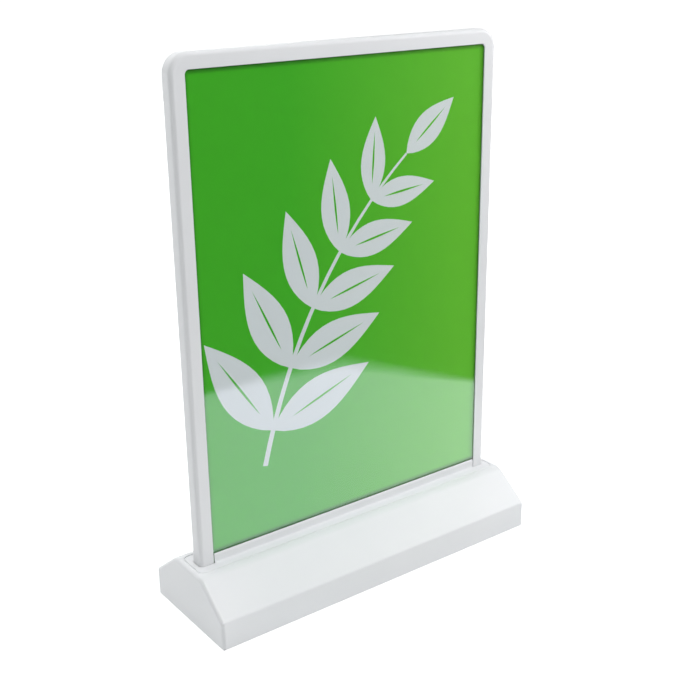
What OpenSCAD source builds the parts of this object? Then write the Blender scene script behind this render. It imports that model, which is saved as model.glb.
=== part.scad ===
// Table-top light box for a printed film on each side.
// A frame hoop slides down over an edge-lit acrylic guide and plugs into a collar in a weighted base.
// Millimetres. The front faces -Y, +X is to its right, +Z is up, and the rubber feet stand on z = 0.

/* [Printed film] */
// Width of the printed film
film_w = 210; // [180:1:240]
// Height of the printed film
film_h = 297; // [260:1:330]
// Thickness of the printed film
film_t = 0.25; // [0.15:0.05:0.4]
// Radius of the film's corners
film_r = 2; // [1:0.5:3]
// Air on each face of the film
film_gap = 0.225; // [0.2:0.025:0.4]

/* [Frame hoop] */
// How far a stile laps over the film's side edge
side_lap = 5; // [4:0.5:7]
// How far the top bar laps over the film's top edge
top_lap = 3.3; // [2:0.1:4.5]
// How much of the film is hidden below the opening
low_lap = 25.2; // [23:0.1:27]
// Thickness of the hoop outside its groove
web_t = 3.15; // [2.4:0.05:5]
// Thickness of the lips in front of and behind the groove
lip_t = 1.3; // [1:0.1:2.5]
// Radius of the picture opening's upper corners
open_r = 2.5; // [1.5:0.5:6]
// Radius along the hoop's outer edges
edge_r = 2.5; // [1:0.25:3]
// Radius along the edge of the picture opening
lip_r = 0.4; // [0.2:0.1:0.6]
// Radius of the groove's upper corners
groove_r = 4; // [3:0.5:5]
// Room between the groove's floor and the film's edge
groove_gap = 0.45; // [0.3:0.05:0.8]
// How deep the stiles plug into the collar
plug_l = 15; // [12:0.5:15.5]
// Height of the lower rail above the base
rail_h = 6.4; // [5:0.1:9]
// Radius where the lower rail meets the collar
rail_fillet = 1; // [0.5:0.1:2]
// Room between a stile and its pocket
slide_gap = 0.25; // [0.2:0.05:0.4]
// Room round the sheets in the collar and the channel's cradles
stack_gap = 0.1; // [0.05:0.05:0.2]

/* [Sheets] */
// Thickness of the acrylic light guide
guide_t = 3; // [3:0.5:5]
// Thickness of each diffuser
diffuser_t = 0.5; // [0.3:0.1:1]
// Thickness of each clear cover
clear_t = 1; // [0.8:0.1:2]
// How far the clear covers reach below the opening
clear_low = 13.4; // [12:0.1:15]
// Room at the clear covers' edges
clear_gap = 0.15; // [0.1:0.05:0.3]
// Thickness of the reflective edge tape
tape_t = 0.15; // [0.1:0.05:0.2]

/* [Base shell] */
// Height of the shell from its rim to its flat top
base_h = 34.2; // [33:0.1:38]
// Height of the upright front and back walls
wall_h = 16.5; // [16:0.1:18]
// Slope of the shell's long faces, in degrees
slope_a = 37.5; // [34:0.5:42]
// Wall thickness of the shell
shell_t = 2.4; // [2:0.1:3]
// Radius between the slope and the flat top
brow_r = 9; // [5:0.5:10]
// Radius between the upright wall and the slope
ridge_r = 2; // [1:0.25:3]
// Radius round the shell's ends
end_r = 2; // [1:0.25:3]
// From the collar to the slope, before rounding
top_margin = 3.8; // [3:0.1:6]
// From the collar to the shell's ends
end_margin = 3.5; // [3:0.1:8]
// Thickness of the deck that carries the collar
deck_t = 2.6; // [2:0.1:3]
// Thickness of the ribs inside the shell
rib_t = 1.6; // [1.2:0.1:2.5]
// Height of the ribs' lower edge above the rim
rib_z = 13.4; // [13:0.1:15]
// Distance of the two ribs from the middle
rib_x = 34; // [25:1:40]
// Room between the ribs and the collar's skirt
rib_gap = 3; // [1:0.5:4]

/* [Collar] */
// Width of the collar's flange in front of and behind the frame
flange_y = 6; // [5:0.25:8]
// Width of the collar's flange at each end of the frame
flange_x = 3.2; // [2.6:0.1:5]
// Thickness of the collar's flange
flange_t = 3; // [2.5:0.1:4]
// Radius of the collar's corners
flange_r = 4; // [2:0.5:6]
// Width of the groove round the collar
reveal = 0.6; // [0.4:0.05:1]
// Thickness of the collar's skirt
skirt_t = 1.2; // [1:0.1:1.6]
// Thickness of the ledge below each stile
ledge_t = 1.5; // [1:0.1:2]
// Depth of the skirt below the flange between the stiles
skirt_h = 5; // [4.6:0.1:6]
// How far each snap barb stands out
barb = 0.9; // [0.6:0.1:1.2]
// Length of a snap barb
barb_l = 10; // [6:1:14]
// Height of a snap barb
barb_h = 1.6; // [1.2:0.1:2]
// Room between the skirt and the deck's slot
skirt_gap = 0.3; // [0.2:0.05:0.5]
// Room between the barbs and the deck
barb_gap = 0.2; // [0.1:0.05:0.3]

/* [Base plate] */
// Thickness of the base plate
plate_t = 2.2; // [2:0.1:3]
// How far the plate lies inside the shell's rim
plate_in = 0.6; // [0.4:0.1:1]
// Room round the base plate
plate_gap = 0.3; // [0.2:0.05:0.5]
// Radius of the base plate's corners
plate_r = 2; // [1:0.5:4]
// Radius of the rubber feet
foot_r = 5; // [4:0.5:6]
// Room round a foot in its seat
foot_gap = 0.2; // [0.1:0.05:0.3]
// Chamfer round a foot's sole
foot_soft = 0.4; // [0.2:0.05:0.6]
// Depth of a foot's seat in the plate
foot_seat = 1; // [0.6:0.1:1.2]
// How far the feet stand below the shell's rim
foot_proud = 0.8; // [0.6:0.1:1.5]
// Distance of the feet from the base's ends
foot_x = 23; // [21:1:30]
// Distance of the feet from the base's long edges
foot_y = 12; // [11:0.5:14]
// Radius of a screw's shank
screw_r = 1.45; // [1.2:0.05:1.5]
// Radius of a screw's head
head_r = 2.8; // [2.5:0.1:3]
// Height of a countersunk head
head_h = 1.6; // [1.2:0.1:1.6]
// Length of the base and ballast screws
screw_l = 9; // [7:0.5:10]
// Room round a shank where it passes through
shank_gap = 0.25; // [0.15:0.05:0.4]
// Room round a shank where it bites
thread_gap = 0.02; // [0.01:0.01:0.04]
// Room round a countersunk head
head_gap = 0.1; // [0.05:0.05:0.2]
// Half length of the cross in a screw's head
cross_r = 1.6; // [1.2:0.1:2]
// Width of that cross
cross_w = 0.6; // [0.4:0.05:0.8]
// Depth of that cross
cross_d = 0.9; // [0.6:0.1:1.1]
// Radius of the screw bosses
boss_r = 3.25; // [3:0.25:3.5]
// Distance of the outer bosses from the base's ends
boss_x = 11.3; // [10:0.1:13]
// Distance of the bosses from the base's long edges
boss_y = 6.9; // [6:0.1:7]

/* [Ballast] */
// Width of a ballast bar
ballast_w = 16; // [12:0.5:16]
// Thickness of a ballast bar
ballast_t = 9; // [6:0.5:9]
// Room between the bars and the outer screw bosses
ballast_gap = 0.7; // [0.5:0.1:1]
// From the rear bar to the switch
ballast_short = 17.5; // [12:0.5:30]
// Distance of the bars from the base's ends
ballast_x = 20; // [20:1:40]
// Distance of the ballast screws from a bar's ends
ballast_hole = 30; // [20:1:40]

/* [Light strip] */
// Wall thickness of the aluminium channel
channel_t = 1.2; // [1:0.1:1.5]
// Height of the channel above the light board
channel_h = 9.1; // [7:0.1:9.5]
// Room between the channel and a stile
channel_gap = 1; // [0.6:0.1:3]
// Width of the light board
board_w = 5; // [4:0.1:5.2]
// From the light board to the channel's ends
board_in = 1; // [0.5:0.1:2]
// From the light board's ends to the row of chips, at least
chip_in = 7; // [6.5:0.5:12]
// Thickness of the light board
board_t = 1; // [0.8:0.1:1.6]
// Thickness of the adhesive tape under the light board
adhesive_t = 0.15; // [0.1:0.05:0.3]
// Room between the light board and the film's lower edge
film_rest = 0.3; // [0.2:0.05:0.5]
// Length of a light chip
chip_l = 3.5; // [2.8:0.1:3.5]
// Width of a light chip
chip_w = 2.8; // [1.6:0.1:2.8]
// Height of a light chip
chip_h = 0.7; // [0.6:0.05:1]
// Radius of the round window in a light chip
window_r = 1.15; // [0.7:0.05:1.25]
// Depth of that window
window_d = 0.15; // [0.1:0.05:0.3]
// Distance from one light chip to the next
chip_pitch = 5.4; // [5.2:0.1:10]
// Room between the chips and the light guide
chip_gap = 0.1; // [0.1:0.05:0.3]
// Length of a resistor
resistor_l = 2; // [1.6:0.1:2]
// Width of a resistor
resistor_w = 1.25; // [0.8:0.05:1.25]
// Height of a resistor
resistor_h = 0.5; // [0.4:0.05:0.6]
// Half depth of a channel cradle
cradle_y = 6.5; // [6:0.1:8]
// Length of a channel cradle
cradle_l = 8; // [7:0.5:12]
// How far a cradle's cheeks rise beside the channel
cradle_h = 4.3; // [2:0.1:5]
// Distance of the outer cradles from the channel's ends
cradle_x = 19; // [15:1:30]

/* [Power inlet and switch] */
// Height of the inlet and the switch above the shell's rim
port_h = 9.4; // [9.3:0.05:9.6]
// Depth of the recess that holds both
port_d = 3.5; // [3.4:0.1:4]
// Half height of that recess
port_half = 5.6; // [5.5:0.05:5.7]
// From the recess's ends to the inlet's flange and the switch's bezel
port_side = 3; // [2:0.25:5]
// Radius of the recess's corners
port_r = 1.5; // [1:0.25:3]
// Wall round the recess, inside the shell
port_t = 1; // [0.8:0.1:1.5]
// Room round the inlet's barrel and the switch's housing
port_gap = 0.15; // [0.1:0.05:0.3]
// Distance of the inlet from the base's end
jack_x = 28.3; // [28:0.1:40]
// Distance from the inlet to the switch
switch_dx = 21; // [19:0.5:24]
// Radius of the inlet's bore
jack_bore_r = 2.8; // [2.75:0.05:3]
// Radius of the inlet's centre pin
jack_pin_r = 1.05; // [0.85:0.05:1.25]
// Radius of the centre pin's root, moulded into the inlet
jack_root_r = 1.4; // [1.3:0.05:1.6]
// Depth of the inlet's bore
jack_bore_l = 9.5; // [9:0.1:10]
// How far the pin's tip lies inside the bore's mouth
jack_pin_in = 0.8; // [0.5:0.1:1.2]
// Radius of the inlet's threaded barrel
jack_r = 3.9; // [3.8:0.05:4]
// Length of the inlet's barrel behind its flange
jack_l = 10; // [9.5:0.5:11]
// Radius of the inlet's flange
jack_flange_r = 5.2; // [5:0.1:5.4]
// Thickness of the inlet's flange
jack_flange_t = 1.6; // [1.2:0.1:2]
// Width across the flats of the inlet's nut
nut_w = 10; // [9.5:0.1:10.2]
// Thickness of the inlet's nut
nut_t = 2.5; // [2:0.1:3]
// Room between the nut and the barrel
nut_gap = 0.05; // [0.02:0.01:0.1]
// Width of the inlet's solder lugs
lug_w = 2; // [1.6:0.1:2.4]
// Thickness of the inlet's solder lugs
lug_t = 0.6; // [0.4:0.05:0.8]
// Length of the inlet's solder lugs
lug_l = 4.5; // [4:0.1:6]
// From the inlet's pin to its sleeve contact
lug_dx = 3.1; // [2.9:0.05:3.3]
// Width of the switch's bezel
bezel_w = 15; // [14.6:0.1:16]
// Height of the switch's bezel
bezel_h = 10.5; // [10:0.1:10.8]
// Thickness of the switch's bezel
bezel_t = 1.5; // [1.2:0.1:1.8]
// Radius of the bezel's corners
bezel_r = 1; // [0.6:0.1:1.5]
// Radius that the rocker's ends swing on
rocker_r = 5.8; // [5.4:0.1:5.9]
// Height of the rocker
rocker_h = 6.5; // [6:0.1:6.6]
// Depth of the rocker's keel below its axis
rocker_d = 4; // [3.6:0.1:4.5]
// Half width of the rocker's keel
keel_x = 2.2; // [1.8:0.1:2.6]
// Depth of the rocker's ends below its axis
rocker_skirt = 0.5; // [0.3:0.1:1]
// Height of the rocker's saddle above its axis
rocker_v = 2.3; // [2:0.1:2.6]
// How far the saddle lies below the bezel's face
rocker_in = 0.3; // [0.1:0.05:0.6]
// Tilt of the rocker to each side, in degrees
rocker_tilt = 9; // [7:0.5:10]
// Room between the rocker and its housing
rocker_gap = 0.2; // [0.15:0.05:0.3]
// Radius of the rocker's trunnions
trunnion_r = 1; // [0.8:0.05:1.1]
// Running room round the trunnions
trunnion_gap = 0.06; // [0.04:0.01:0.1]
// Length of the rocker's trunnions
trunnion_l = 0.5; // [0.3:0.05:0.6]
// Wall of the switch's housing beside the rocker
housing_t = 0.5; // [0.4:0.05:0.8]
// Depth of the switch's housing behind its bezel
switch_d = 10; // [9.5:0.5:12]
// Distance of the switch's blades from its middle
blade_dx = 3.5; // [3:0.1:3.8]
// Width of the switch's blades
blade_w = 2.8; // [2:0.1:2.8]
// Thickness of the switch's blades
blade_t = 0.6; // [0.4:0.05:0.8]
// Length of the switch's blades behind the housing
blade_l = 6.5; // [5:0.5:8]
// How far the blades and the sleeve contact are moulded in
blade_in = 1; // [0.8:0.1:1.5]
// Radius of the wires over their insulation
wire_r = 0.7; // [0.5:0.05:0.8]
// Wall of the shrunk sleeves over the soldered joints
sleeve_t = 0.25; // [0.2:0.05:0.4]
// Room inside those sleeves
sleeve_gap = 0.1; // [0.05:0.05:0.2]
// How far a sleeve reaches along the wire
sleeve_wire = 2.5; // [1.5:0.1:2.8]
// How far a sleeve reaches along the lug or the blade
sleeve_lug = 3.5; // [2:0.1:4]

/* [Hidden] */
$fn = 64;
// Overshoot of cutting shapes
eps = 1;
// Thickness of the slices that a rounded form is stretched over
slice = 0.02;

// The stack of sheets, as half thicknesses counted from the middle plane
guide_y = guide_t / 2;
diffuser_y = guide_y + diffuser_t;
film_y = diffuser_y + film_gap;
clear_y = film_y + film_t + film_gap;
lip_y = clear_y + clear_t;
frame_t = 2 * (lip_y + lip_t);

// The frame hoop in the plane of the picture
open_w = film_w - 2 * side_lap;
groove_x = film_w / 2 + groove_gap;
frame_w = side_lap + groove_gap + web_t;
hoop_w = open_w + 2 * frame_w;
hoop_r = open_r + frame_w;

// Heights above the table
rim_z = foot_proud;
top_z = rim_z + base_h;
ridge_z = rim_z + wall_h;
open_z = top_z + rail_h;
film_z = open_z - low_lap;
open_top = film_z + film_h - top_lap;
groove_top = open_top + side_lap + groove_gap;
hoop_top = open_top + frame_w;
plug_z = top_z - plug_l;
board_z = film_z - film_rest - board_t;
channel_z = board_z - adhesive_t - channel_t;
channel_top = board_z + channel_h;
guide_z = board_z + board_t + chip_h + chip_gap;
guide_top = groove_top - groove_gap - tape_t;
plate_z = rim_z + plate_in;
floor_z = plate_z + plate_t;
port_z = rim_z + port_h;

// The base in plan
collar_l = hoop_w + 2 * flange_x;
collar_d = frame_t + 2 * flange_y;
base_l = collar_l + 2 * end_margin;
brow_y = collar_d / 2 + top_margin;
base_w = 2 * (brow_y + (top_z - ridge_z) / tan(slope_a));
skirt_y = frame_t / 2 + slide_gap + skirt_t;
skirt_x = hoop_w / 2 + slide_gap + skirt_t;
deck_z = top_z - flange_t - deck_t;

// Screws
pilot_r = screw_r + thread_gap;
clear_r = screw_r + shank_gap;
boss_px = base_l / 2 - boss_x;
boss_py = base_w / 2 - boss_y;
boss_at = [for (x = [-boss_px, 0, boss_px]) for (y = [-boss_py, boss_py]) [x, y]];
ballast_cy = boss_py - boss_r - ballast_gap - ballast_w / 2;
foot_px = base_l / 2 - foot_x;
foot_py = base_w / 2 - foot_y;
foot_at = [for (x = [-foot_px, foot_px]) for (y = [-foot_py, foot_py]) [x, y]];

// The light strip
channel_l = open_w - 2 * channel_gap;
board_l = channel_l - 2 * board_in;
chip_run = board_l - 2 * chip_in;
chip_n = floor(chip_run / chip_pitch);
chip_x0 = -chip_pitch * (chip_n - 1) / 2;
cradle_at = channel_l / 2 - cradle_x;

// The power inlet and the switch, in the back wall
back_y = base_w / 2;
port_y = back_y - port_d;
jack_cx = base_l / 2 - jack_x;
switch_cx = jack_cx - switch_dx;
port_wall_y = port_y - shell_t;
port_x0 = switch_cx - bezel_w / 2 - port_side;
port_x1 = jack_cx + jack_flange_r + port_side;
jack_back = port_y - jack_l;
jack_pin_l = jack_bore_l - jack_pin_in;
rocker_cy = port_y + bezel_t - rocker_v - rocker_in;
housing_x = rocker_r + rocker_gap + housing_t;
trunnion_z = rocker_h / 2 + rocker_gap + trunnion_l;
housing_z = trunnion_z + trunnion_gap + housing_t / 2;
housing_back = port_y - switch_d;
// The rear ballast bar stops short of the switch
rear_x1 = switch_cx - housing_x - ballast_short;
front_x1 = base_l / 2 - ballast_x;
ballast_at = concat(
    [for (x = [-front_x1 + ballast_hole, front_x1 - ballast_hole]) [x, -ballast_cy]],
    [for (x = [-front_x1 + ballast_hole, rear_x1 - ballast_hole]) [x, ballast_cy]]);

// The notch in the channel's floor where the two wires reach the board
notch_l = 6;
notch_x = channel_l / 2 - notch_l;
pad_x = notch_x + notch_l / 2;
pad_y = 1.3;

// Where the wires end, and the round numbers that they pass through on their way
lane_y = cradle_y + 2.5;
jack_end = jack_back - lug_l;
blade_end = housing_back - blade_l;
wire_feed_path = [[jack_cx, jack_end, port_z], [jack_cx, jack_end - 3, port_z],
    [jack_cx - 3, jack_end - 7, port_z - 1], [jack_cx - 9, jack_end - 8, port_z - 1],
    [switch_cx + blade_dx + 2, blade_end - 6, port_z - 0.5],
    [switch_cx + blade_dx, blade_end - 3, port_z], [switch_cx + blade_dx, blade_end, port_z]];
wire_led_path = [[switch_cx - blade_dx, blade_end, port_z], [switch_cx - blade_dx, blade_end - 3, port_z],
    [switch_cx, blade_end - 7, port_z - 3], [switch_cx + 10, lane_y, port_z - 4.5],
    [pad_x - 12, lane_y, port_z - 5], [pad_x - 3, 6, port_z - 4], [pad_x, 2.5, port_z - 1.5],
    [pad_x, pad_y, board_z - 3], [pad_x, pad_y, board_z]];
wire_black_path = [[jack_cx + lug_dx, jack_end, port_z], [jack_cx + lug_dx, jack_end - 4, port_z],
    [pad_x - 3, jack_end - 9, port_z - 2], [pad_x + 2, 3, port_z - 3],
    [pad_x + 1, -1, port_z - 1.5], [pad_x, -pad_y, board_z - 3], [pad_x, -pad_y, board_z]];

// Vertices of the shell's outline in front of and behind the middle, moved inwards by d
function shell_edge(d) = let (k = 1 / cos(slope_a)) [
    [base_w / 2 - d, rim_z],
    [base_w / 2 - d, ridge_z - d * (k - tan(slope_a))],
    [brow_y - d * (k - 1) / tan(slope_a), top_z - d]];
// Points of an arc of radius r that rounds the corner q between p and s
function fillet(p, q, s, r, n) = let (
    a = (p - q) / norm(p - q),
    b = (s - q) / norm(s - q),
    half = acos(a * b) / 2,
    c = q + (a + b) / norm(a + b) * r / sin(half),
    from = q + a * r / tan(half) - c,
    to = q + b * r / tan(half) - c,
    sweep = 180 - 2 * half)
    [for (i = [0 : n]) c + (from * sin(sweep * (1 - i / n)) + to * sin(sweep * i / n)) / sin(sweep)];
function flip(points) = [for (i = [len(points) - 1 : -1 : 0]) [-points[i][0], points[i][1]]];
// The rounded outline of the shell, moved inwards by d
function shell_outline(d) = let (
    e = shell_edge(d),
    side = concat([e[0]], fillet(e[0], e[1], e[2], max(ridge_r - d, slice), 6),
        fillet(e[1], e[2], [-e[2][0], e[2][1]], brow_r - d, 9)))
    concat(side, flip(side));
// The same outline with plain corners, reaching down to z0
function shell_plain(d, z0) = let (e = shell_edge(d), side = [[e[0][0], z0], e[1], e[2]])
    concat(side, flip(side));

// Rounded rectangle about the origin, from squares and discs
module round_rect(w, h, r) {
    square([w, h - 2 * r], center = true);
    square([w - 2 * r, h], center = true);
    for (x = [-1, 1], y = [-1, 1]) translate([x * (w / 2 - r), y * (h / 2 - r)]) circle(r);
}

// Upright sheet with rounded upper and lower corners, from y0 towards +Y
module sheet(w, z0, z1, r, y0, t) {
    translate([0, y0 + t, (z0 + z1) / 2])
        rotate([90, 0, 0])
            linear_extrude(t) round_rect(w, z1 - z0, r);
}

// A shape drawn in the YZ plane, made l long and centred on x
module along_x(l, x = 0) {
    translate([x - l / 2, 0, 0]) rotate([90, 0, 90]) linear_extrude(l) children();
}

// A shape drawn in the XZ plane, from y0 to y1
module along_y(y0, y1) {
    translate([0, y1, 0]) rotate([90, 0, 0]) linear_extrude(y1 - y0) children();
}

// Countersunk screw pointing up, its head flush with z = 0
module screw(l) {
    difference() {
        union() {
            cylinder(h = head_h, r1 = head_r, r2 = screw_r);
            cylinder(h = l, r = screw_r);
        }
        for (a = [0, 90])
            rotate(a) translate([-cross_r, -cross_w / 2, -eps]) cube([2 * cross_r, cross_w, eps + cross_d]);
    }
}

// The hole that a countersunk screw passes through
module screw_hole(l) {
    translate([0, 0, -eps]) cylinder(h = l + 2 * eps, r = clear_r);
    cylinder(h = head_h, r1 = head_r + head_gap, r2 = screw_r + head_gap);
    translate([0, 0, -eps]) cylinder(h = eps, r = head_r + head_gap);
}

// Tube of round section swept along a list of points
function unit(v) = v / norm(v);
function spline(p, i, t) = let (
    a = p[max(i - 1, 0)],
    b = p[i],
    c = p[i + 1],
    d = p[min(i + 2, len(p) - 1)])
    0.5 * (2 * b + (c - a) * t + (2 * a - 5 * b + 4 * c - d) * t * t + (3 * b - a - 3 * c + d) * t * t * t);
function smooth(p, n) = concat(
    [for (i = [0 : len(p) - 2]) for (k = [0 : n - 1]) spline(p, i, k / n)], [p[len(p) - 1]]);
// Heading at point i of p, square to the route's own first and last stretches at its ends
function heading(p, i, route) = let (n = len(route) - 1)
    i == 0 ? unit(route[1] - route[0]) :
    i == len(p) - 1 ? unit(route[n] - route[n - 1]) : unit(p[i + 1] - p[i - 1]);
module tube(route, r, sides = 8) {
    p = smooth(route, 3);
    last = len(p) - 1;
    // Never parallel to a stretch of the wires
    side_ref = [-0.6, -0.6, 0.53];
    points = [for (i = [0 : last])
        let (t = heading(p, i, route), u = unit(cross(t, side_ref)), v = cross(t, u))
        for (s = [0 : sides - 1]) p[i] + r * (cos(360 * s / sides) * u + sin(360 * s / sides) * v)];
    skin = [for (i = [0 : last - 1]) for (s = [0 : sides - 1])
        let (a = i * sides + s, b = i * sides + (s + 1) % sides)
        each [[a, a + sides, b], [b, a + sides, b + sides]]];
    polyhedron(points, concat(skin, [[for (s = [0 : sides - 1]) s]],
        [[for (s = [sides - 1 : -1 : 0]) last * sides + s]]));
}

// Moulded housing: sloped faces, soft brows and rounded ends in one convex form
module shell_form(steps = 6) {
    hull()
        for (side = [-1, 1], k = [0 : steps])
            let (a = 90 * k / steps)
            along_x(slice, side * (base_l / 2 - slice / 2 - end_r * (1 - sin(a))))
                polygon(shell_outline(end_r * (1 - cos(a))));
}

// Solid that lies d inside the shell's skin, down to z0
module shell_core(d, z0) {
    along_x(base_l - 2 * d) polygon(shell_plain(d, z0));
}

module shell_bosses() {
    for (p = boss_at) translate([p[0], p[1], floor_z]) cylinder(h = base_h, r = boss_r);
}

module shell_ribs() {
    rib_y = skirt_y + rib_gap;
    for (x = [-rib_x, rib_x])
        along_x(rib_t, x)
            for (m = [0, 1]) mirror([m, 0])
                translate([rib_y, rim_z + rib_z]) square([base_w / 2 - rib_y, base_h - rib_z]);
}

// Wall behind the recess, and round it down to the base plate
module port_tray() {
    along_y(port_wall_y, back_y)
        translate([port_x0 - port_t, floor_z + stack_gap])
            square([port_x1 - port_x0 + 2 * port_t, port_z + port_half + port_t - floor_z - stack_gap]);
}

module port_cuts() {
    along_y(port_y, back_y + eps)
        translate([(port_x0 + port_x1) / 2, port_z]) round_rect(port_x1 - port_x0, 2 * port_half, port_r);
    along_y(port_wall_y - eps, port_y + eps) {
        translate([jack_cx, port_z]) circle(jack_r + port_gap);
        translate([switch_cx, port_z])
            square([2 * (housing_x + port_gap), 2 * (housing_z + port_gap)], center = true);
    }
}

module base_cover() {
    color("white")
    difference() {
        union() {
            difference() {
                shell_form();
                shell_core(shell_t, rim_z - eps);
            }
            intersection() {
                shell_core(shell_t / 2, rim_z);
                union() {
                    shell_bosses();
                    shell_ribs();
                    port_tray();
                    translate([-base_l / 2, -brow_y, deck_z]) cube([base_l, 2 * brow_y, deck_t + flange_t]);
                }
            }
        }
        translate([0, 0, top_z - flange_t])
            linear_extrude(flange_t + eps)
                round_rect(collar_l + 2 * reveal, collar_d + 2 * reveal, flange_r + reveal);
        translate([0, 0, (deck_z + top_z) / 2])
            cube([2 * (skirt_x + skirt_gap), 2 * (skirt_y + skirt_gap), base_h / 2], center = true);
        for (p = boss_at) translate([p[0], p[1], floor_z - eps]) cylinder(h = screw_l + eps, r = pilot_r);
        port_cuts();
    }
}

module base_plate() {
    plate_less = 2 * (shell_t + plate_gap);
    color("whitesmoke")
    difference() {
        union() {
            translate([0, 0, plate_z])
                linear_extrude(plate_t) round_rect(base_l - plate_less, base_w - plate_less, plate_r);
            for (x = [-cradle_at, 0, cradle_at])
                translate([x - cradle_l / 2, -cradle_y, plate_z])
                    cube([cradle_l, 2 * cradle_y, channel_z + cradle_h - plate_z]);
        }
        translate([-base_l / 2, -clear_y - channel_t - stack_gap, channel_z])
            cube([base_l, 2 * (clear_y + channel_t + stack_gap), base_h]);
        for (p = boss_at) translate([p[0], p[1], plate_z]) screw_hole(plate_t);
        for (p = ballast_at) translate([p[0], p[1], plate_z]) screw_hole(plate_t);
        for (x = [-cradle_at, cradle_at]) translate([x, 0, plate_z]) screw_hole(channel_z - plate_z);
        for (p = foot_at)
            translate([p[0], p[1], plate_z - eps]) cylinder(h = foot_seat + eps, r = foot_r + foot_gap);
    }
}

module rubber_feet() {
    color("dimgray")
    for (p = foot_at)
        translate([p[0], p[1], 0]) {
            cylinder(h = foot_soft, r1 = foot_r - foot_soft, r2 = foot_r);
            translate([0, 0, foot_soft]) cylinder(h = plate_z + foot_seat - foot_soft, r = foot_r);
        }
}

module base_screws() {
    color("silver")
    for (p = boss_at) translate([p[0], p[1], plate_z]) screw(screw_l);
}

module ballast_bar(x0, x1, y) {
    difference() {
        translate([x0, y - ballast_w / 2, floor_z]) cube([x1 - x0, ballast_w, ballast_t]);
        for (p = ballast_at) translate([p[0], p[1], 0]) cylinder(h = floor_z + screw_l, r = pilot_r);
    }
}

module front_ballast() {
    color("slategray") ballast_bar(-front_x1, front_x1, -ballast_cy);
}

module rear_ballast() {
    color("slategray") ballast_bar(-front_x1, rear_x1, ballast_cy);
}

module ballast_screws() {
    color("silver")
    for (p = ballast_at) translate([p[0], p[1], plate_z]) screw(screw_l);
}

// Section of a stile: x runs from the picture opening outwards
module stile_section() {
    half = frame_t / 2;
    translate([lip_r, -half]) square([frame_w - edge_r - lip_r, 2 * half]);
    translate([0, -half + lip_r]) square([frame_w - edge_r, 2 * (half - lip_r)]);
    translate([0, -half + edge_r]) square([frame_w, 2 * (half - edge_r)]);
    for (s = [-1, 1]) {
        translate([frame_w - edge_r, s * (half - edge_r)]) circle(edge_r);
        translate([lip_r, s * (half - lip_r)]) circle(lip_r);
    }
}

// Section of the pocket that takes a stile
module pocket_section() {
    g = slide_gap;
    half = frame_t / 2 + g;
    translate([-g, -half]) square([frame_w - edge_r + g, 2 * half]);
    translate([-g, -half + edge_r + g]) square([frame_w + 2 * g, 2 * (half - edge_r - g)]);
    for (s = [-1, 1]) translate([frame_w - edge_r, s * (frame_t / 2 - edge_r)]) circle(edge_r + g);
}

// One half of the collar's lower rail, in the YZ plane
module rail_section() {
    y0 = lip_y + stack_gap;
    y1 = frame_t / 2;
    translate([y0, top_z - eps]) square([y1 - y0, rail_h + eps - lip_r]);
    translate([y0, open_z - lip_r - eps]) square([y1 - y0 - lip_r, lip_r + eps]);
    translate([y1 - lip_r, open_z - lip_r]) circle(lip_r);
    difference() {
        translate([y0, top_z]) square([y1 - y0 + rail_fillet, rail_fillet]);
        translate([y1 + rail_fillet, top_z + rail_fillet]) circle(rail_fillet);
    }
}

module collar() {
    rail_l = open_w - 2 * slide_gap;
    slot_x = groove_x + 2 * stack_gap;
    slot_y = lip_y + stack_gap;
    barb_z = deck_z - barb_gap;
    // The barbs' roots reach a little way into the skirt
    root_y = skirt_y - skirt_t / 2;
    color("white")
    difference() {
        union() {
            translate([0, 0, top_z - flange_t])
                linear_extrude(flange_t) round_rect(collar_l, collar_d, flange_r);
            translate([-skirt_x, -skirt_y, top_z - flange_t - skirt_h])
                cube([2 * skirt_x, 2 * skirt_y, skirt_h + eps]);
            for (s = [-1, 1])
                translate([s > 0 ? rail_l / 2 : -skirt_x, -skirt_y, plug_z - ledge_t])
                    cube([skirt_x - rail_l / 2, 2 * skirt_y, plug_l - flange_t + ledge_t + eps]);
            for (m = [0, 1]) mirror([0, m, 0]) {
                along_x(rail_l) rail_section();
                for (x = [-rail_l / 3, 0, rail_l / 3])
                    along_x(barb_l, x)
                        polygon([[root_y, barb_z], [skirt_y + barb, barb_z], [skirt_y, barb_z - barb_h],
                            [root_y, barb_z - barb_h]]);
            }
        }
        translate([-slot_x, -slot_y, 0]) cube([2 * slot_x, 2 * slot_y, hoop_top]);
        for (m = [0, 1]) mirror([m, 0, 0])
            translate([open_w / 2, 0, plug_z - stack_gap]) linear_extrude(hoop_top) pocket_section();
    }
}

module frame_hoop() {
    spring_z = hoop_top - hoop_r;
    color("white")
    difference() {
        union() {
            for (m = [0, 1]) mirror([m, 0, 0]) {
                translate([open_w / 2, 0, plug_z]) linear_extrude(spring_z - plug_z) stile_section();
                translate([open_w / 2 - open_r, 0, spring_z])
                    rotate([90, 0, 0])
                        rotate_extrude(angle = 90) translate([open_r, 0]) stile_section();
            }
            translate([-open_w / 2 + open_r, 0, open_top])
                rotate([90, 0, 90])
                    linear_extrude(open_w - 2 * open_r) rotate(90) stile_section();
        }
        sheet(2 * groove_x, 0, groove_top, groove_r, -lip_y, 2 * lip_y);
    }
}

module clear_cover(y0) {
    color([0.85, 0.92, 0.95, 0.35])
        sheet(2 * (groove_x - clear_gap), open_z - clear_low, groove_top - clear_gap, groove_r - clear_gap,
            y0, clear_t);
}

module front_clear_cover() {
    clear_cover(-lip_y);
}

module back_clear_cover() {
    clear_cover(clear_y);
}

module picture(y0) {
    color([0.27, 0.66, 0.15]) sheet(film_w, film_z, film_z + film_h, film_r, y0, film_t);
}

module front_picture() {
    picture(-film_y - film_t);
}

module back_picture() {
    picture(film_y);
}

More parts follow.
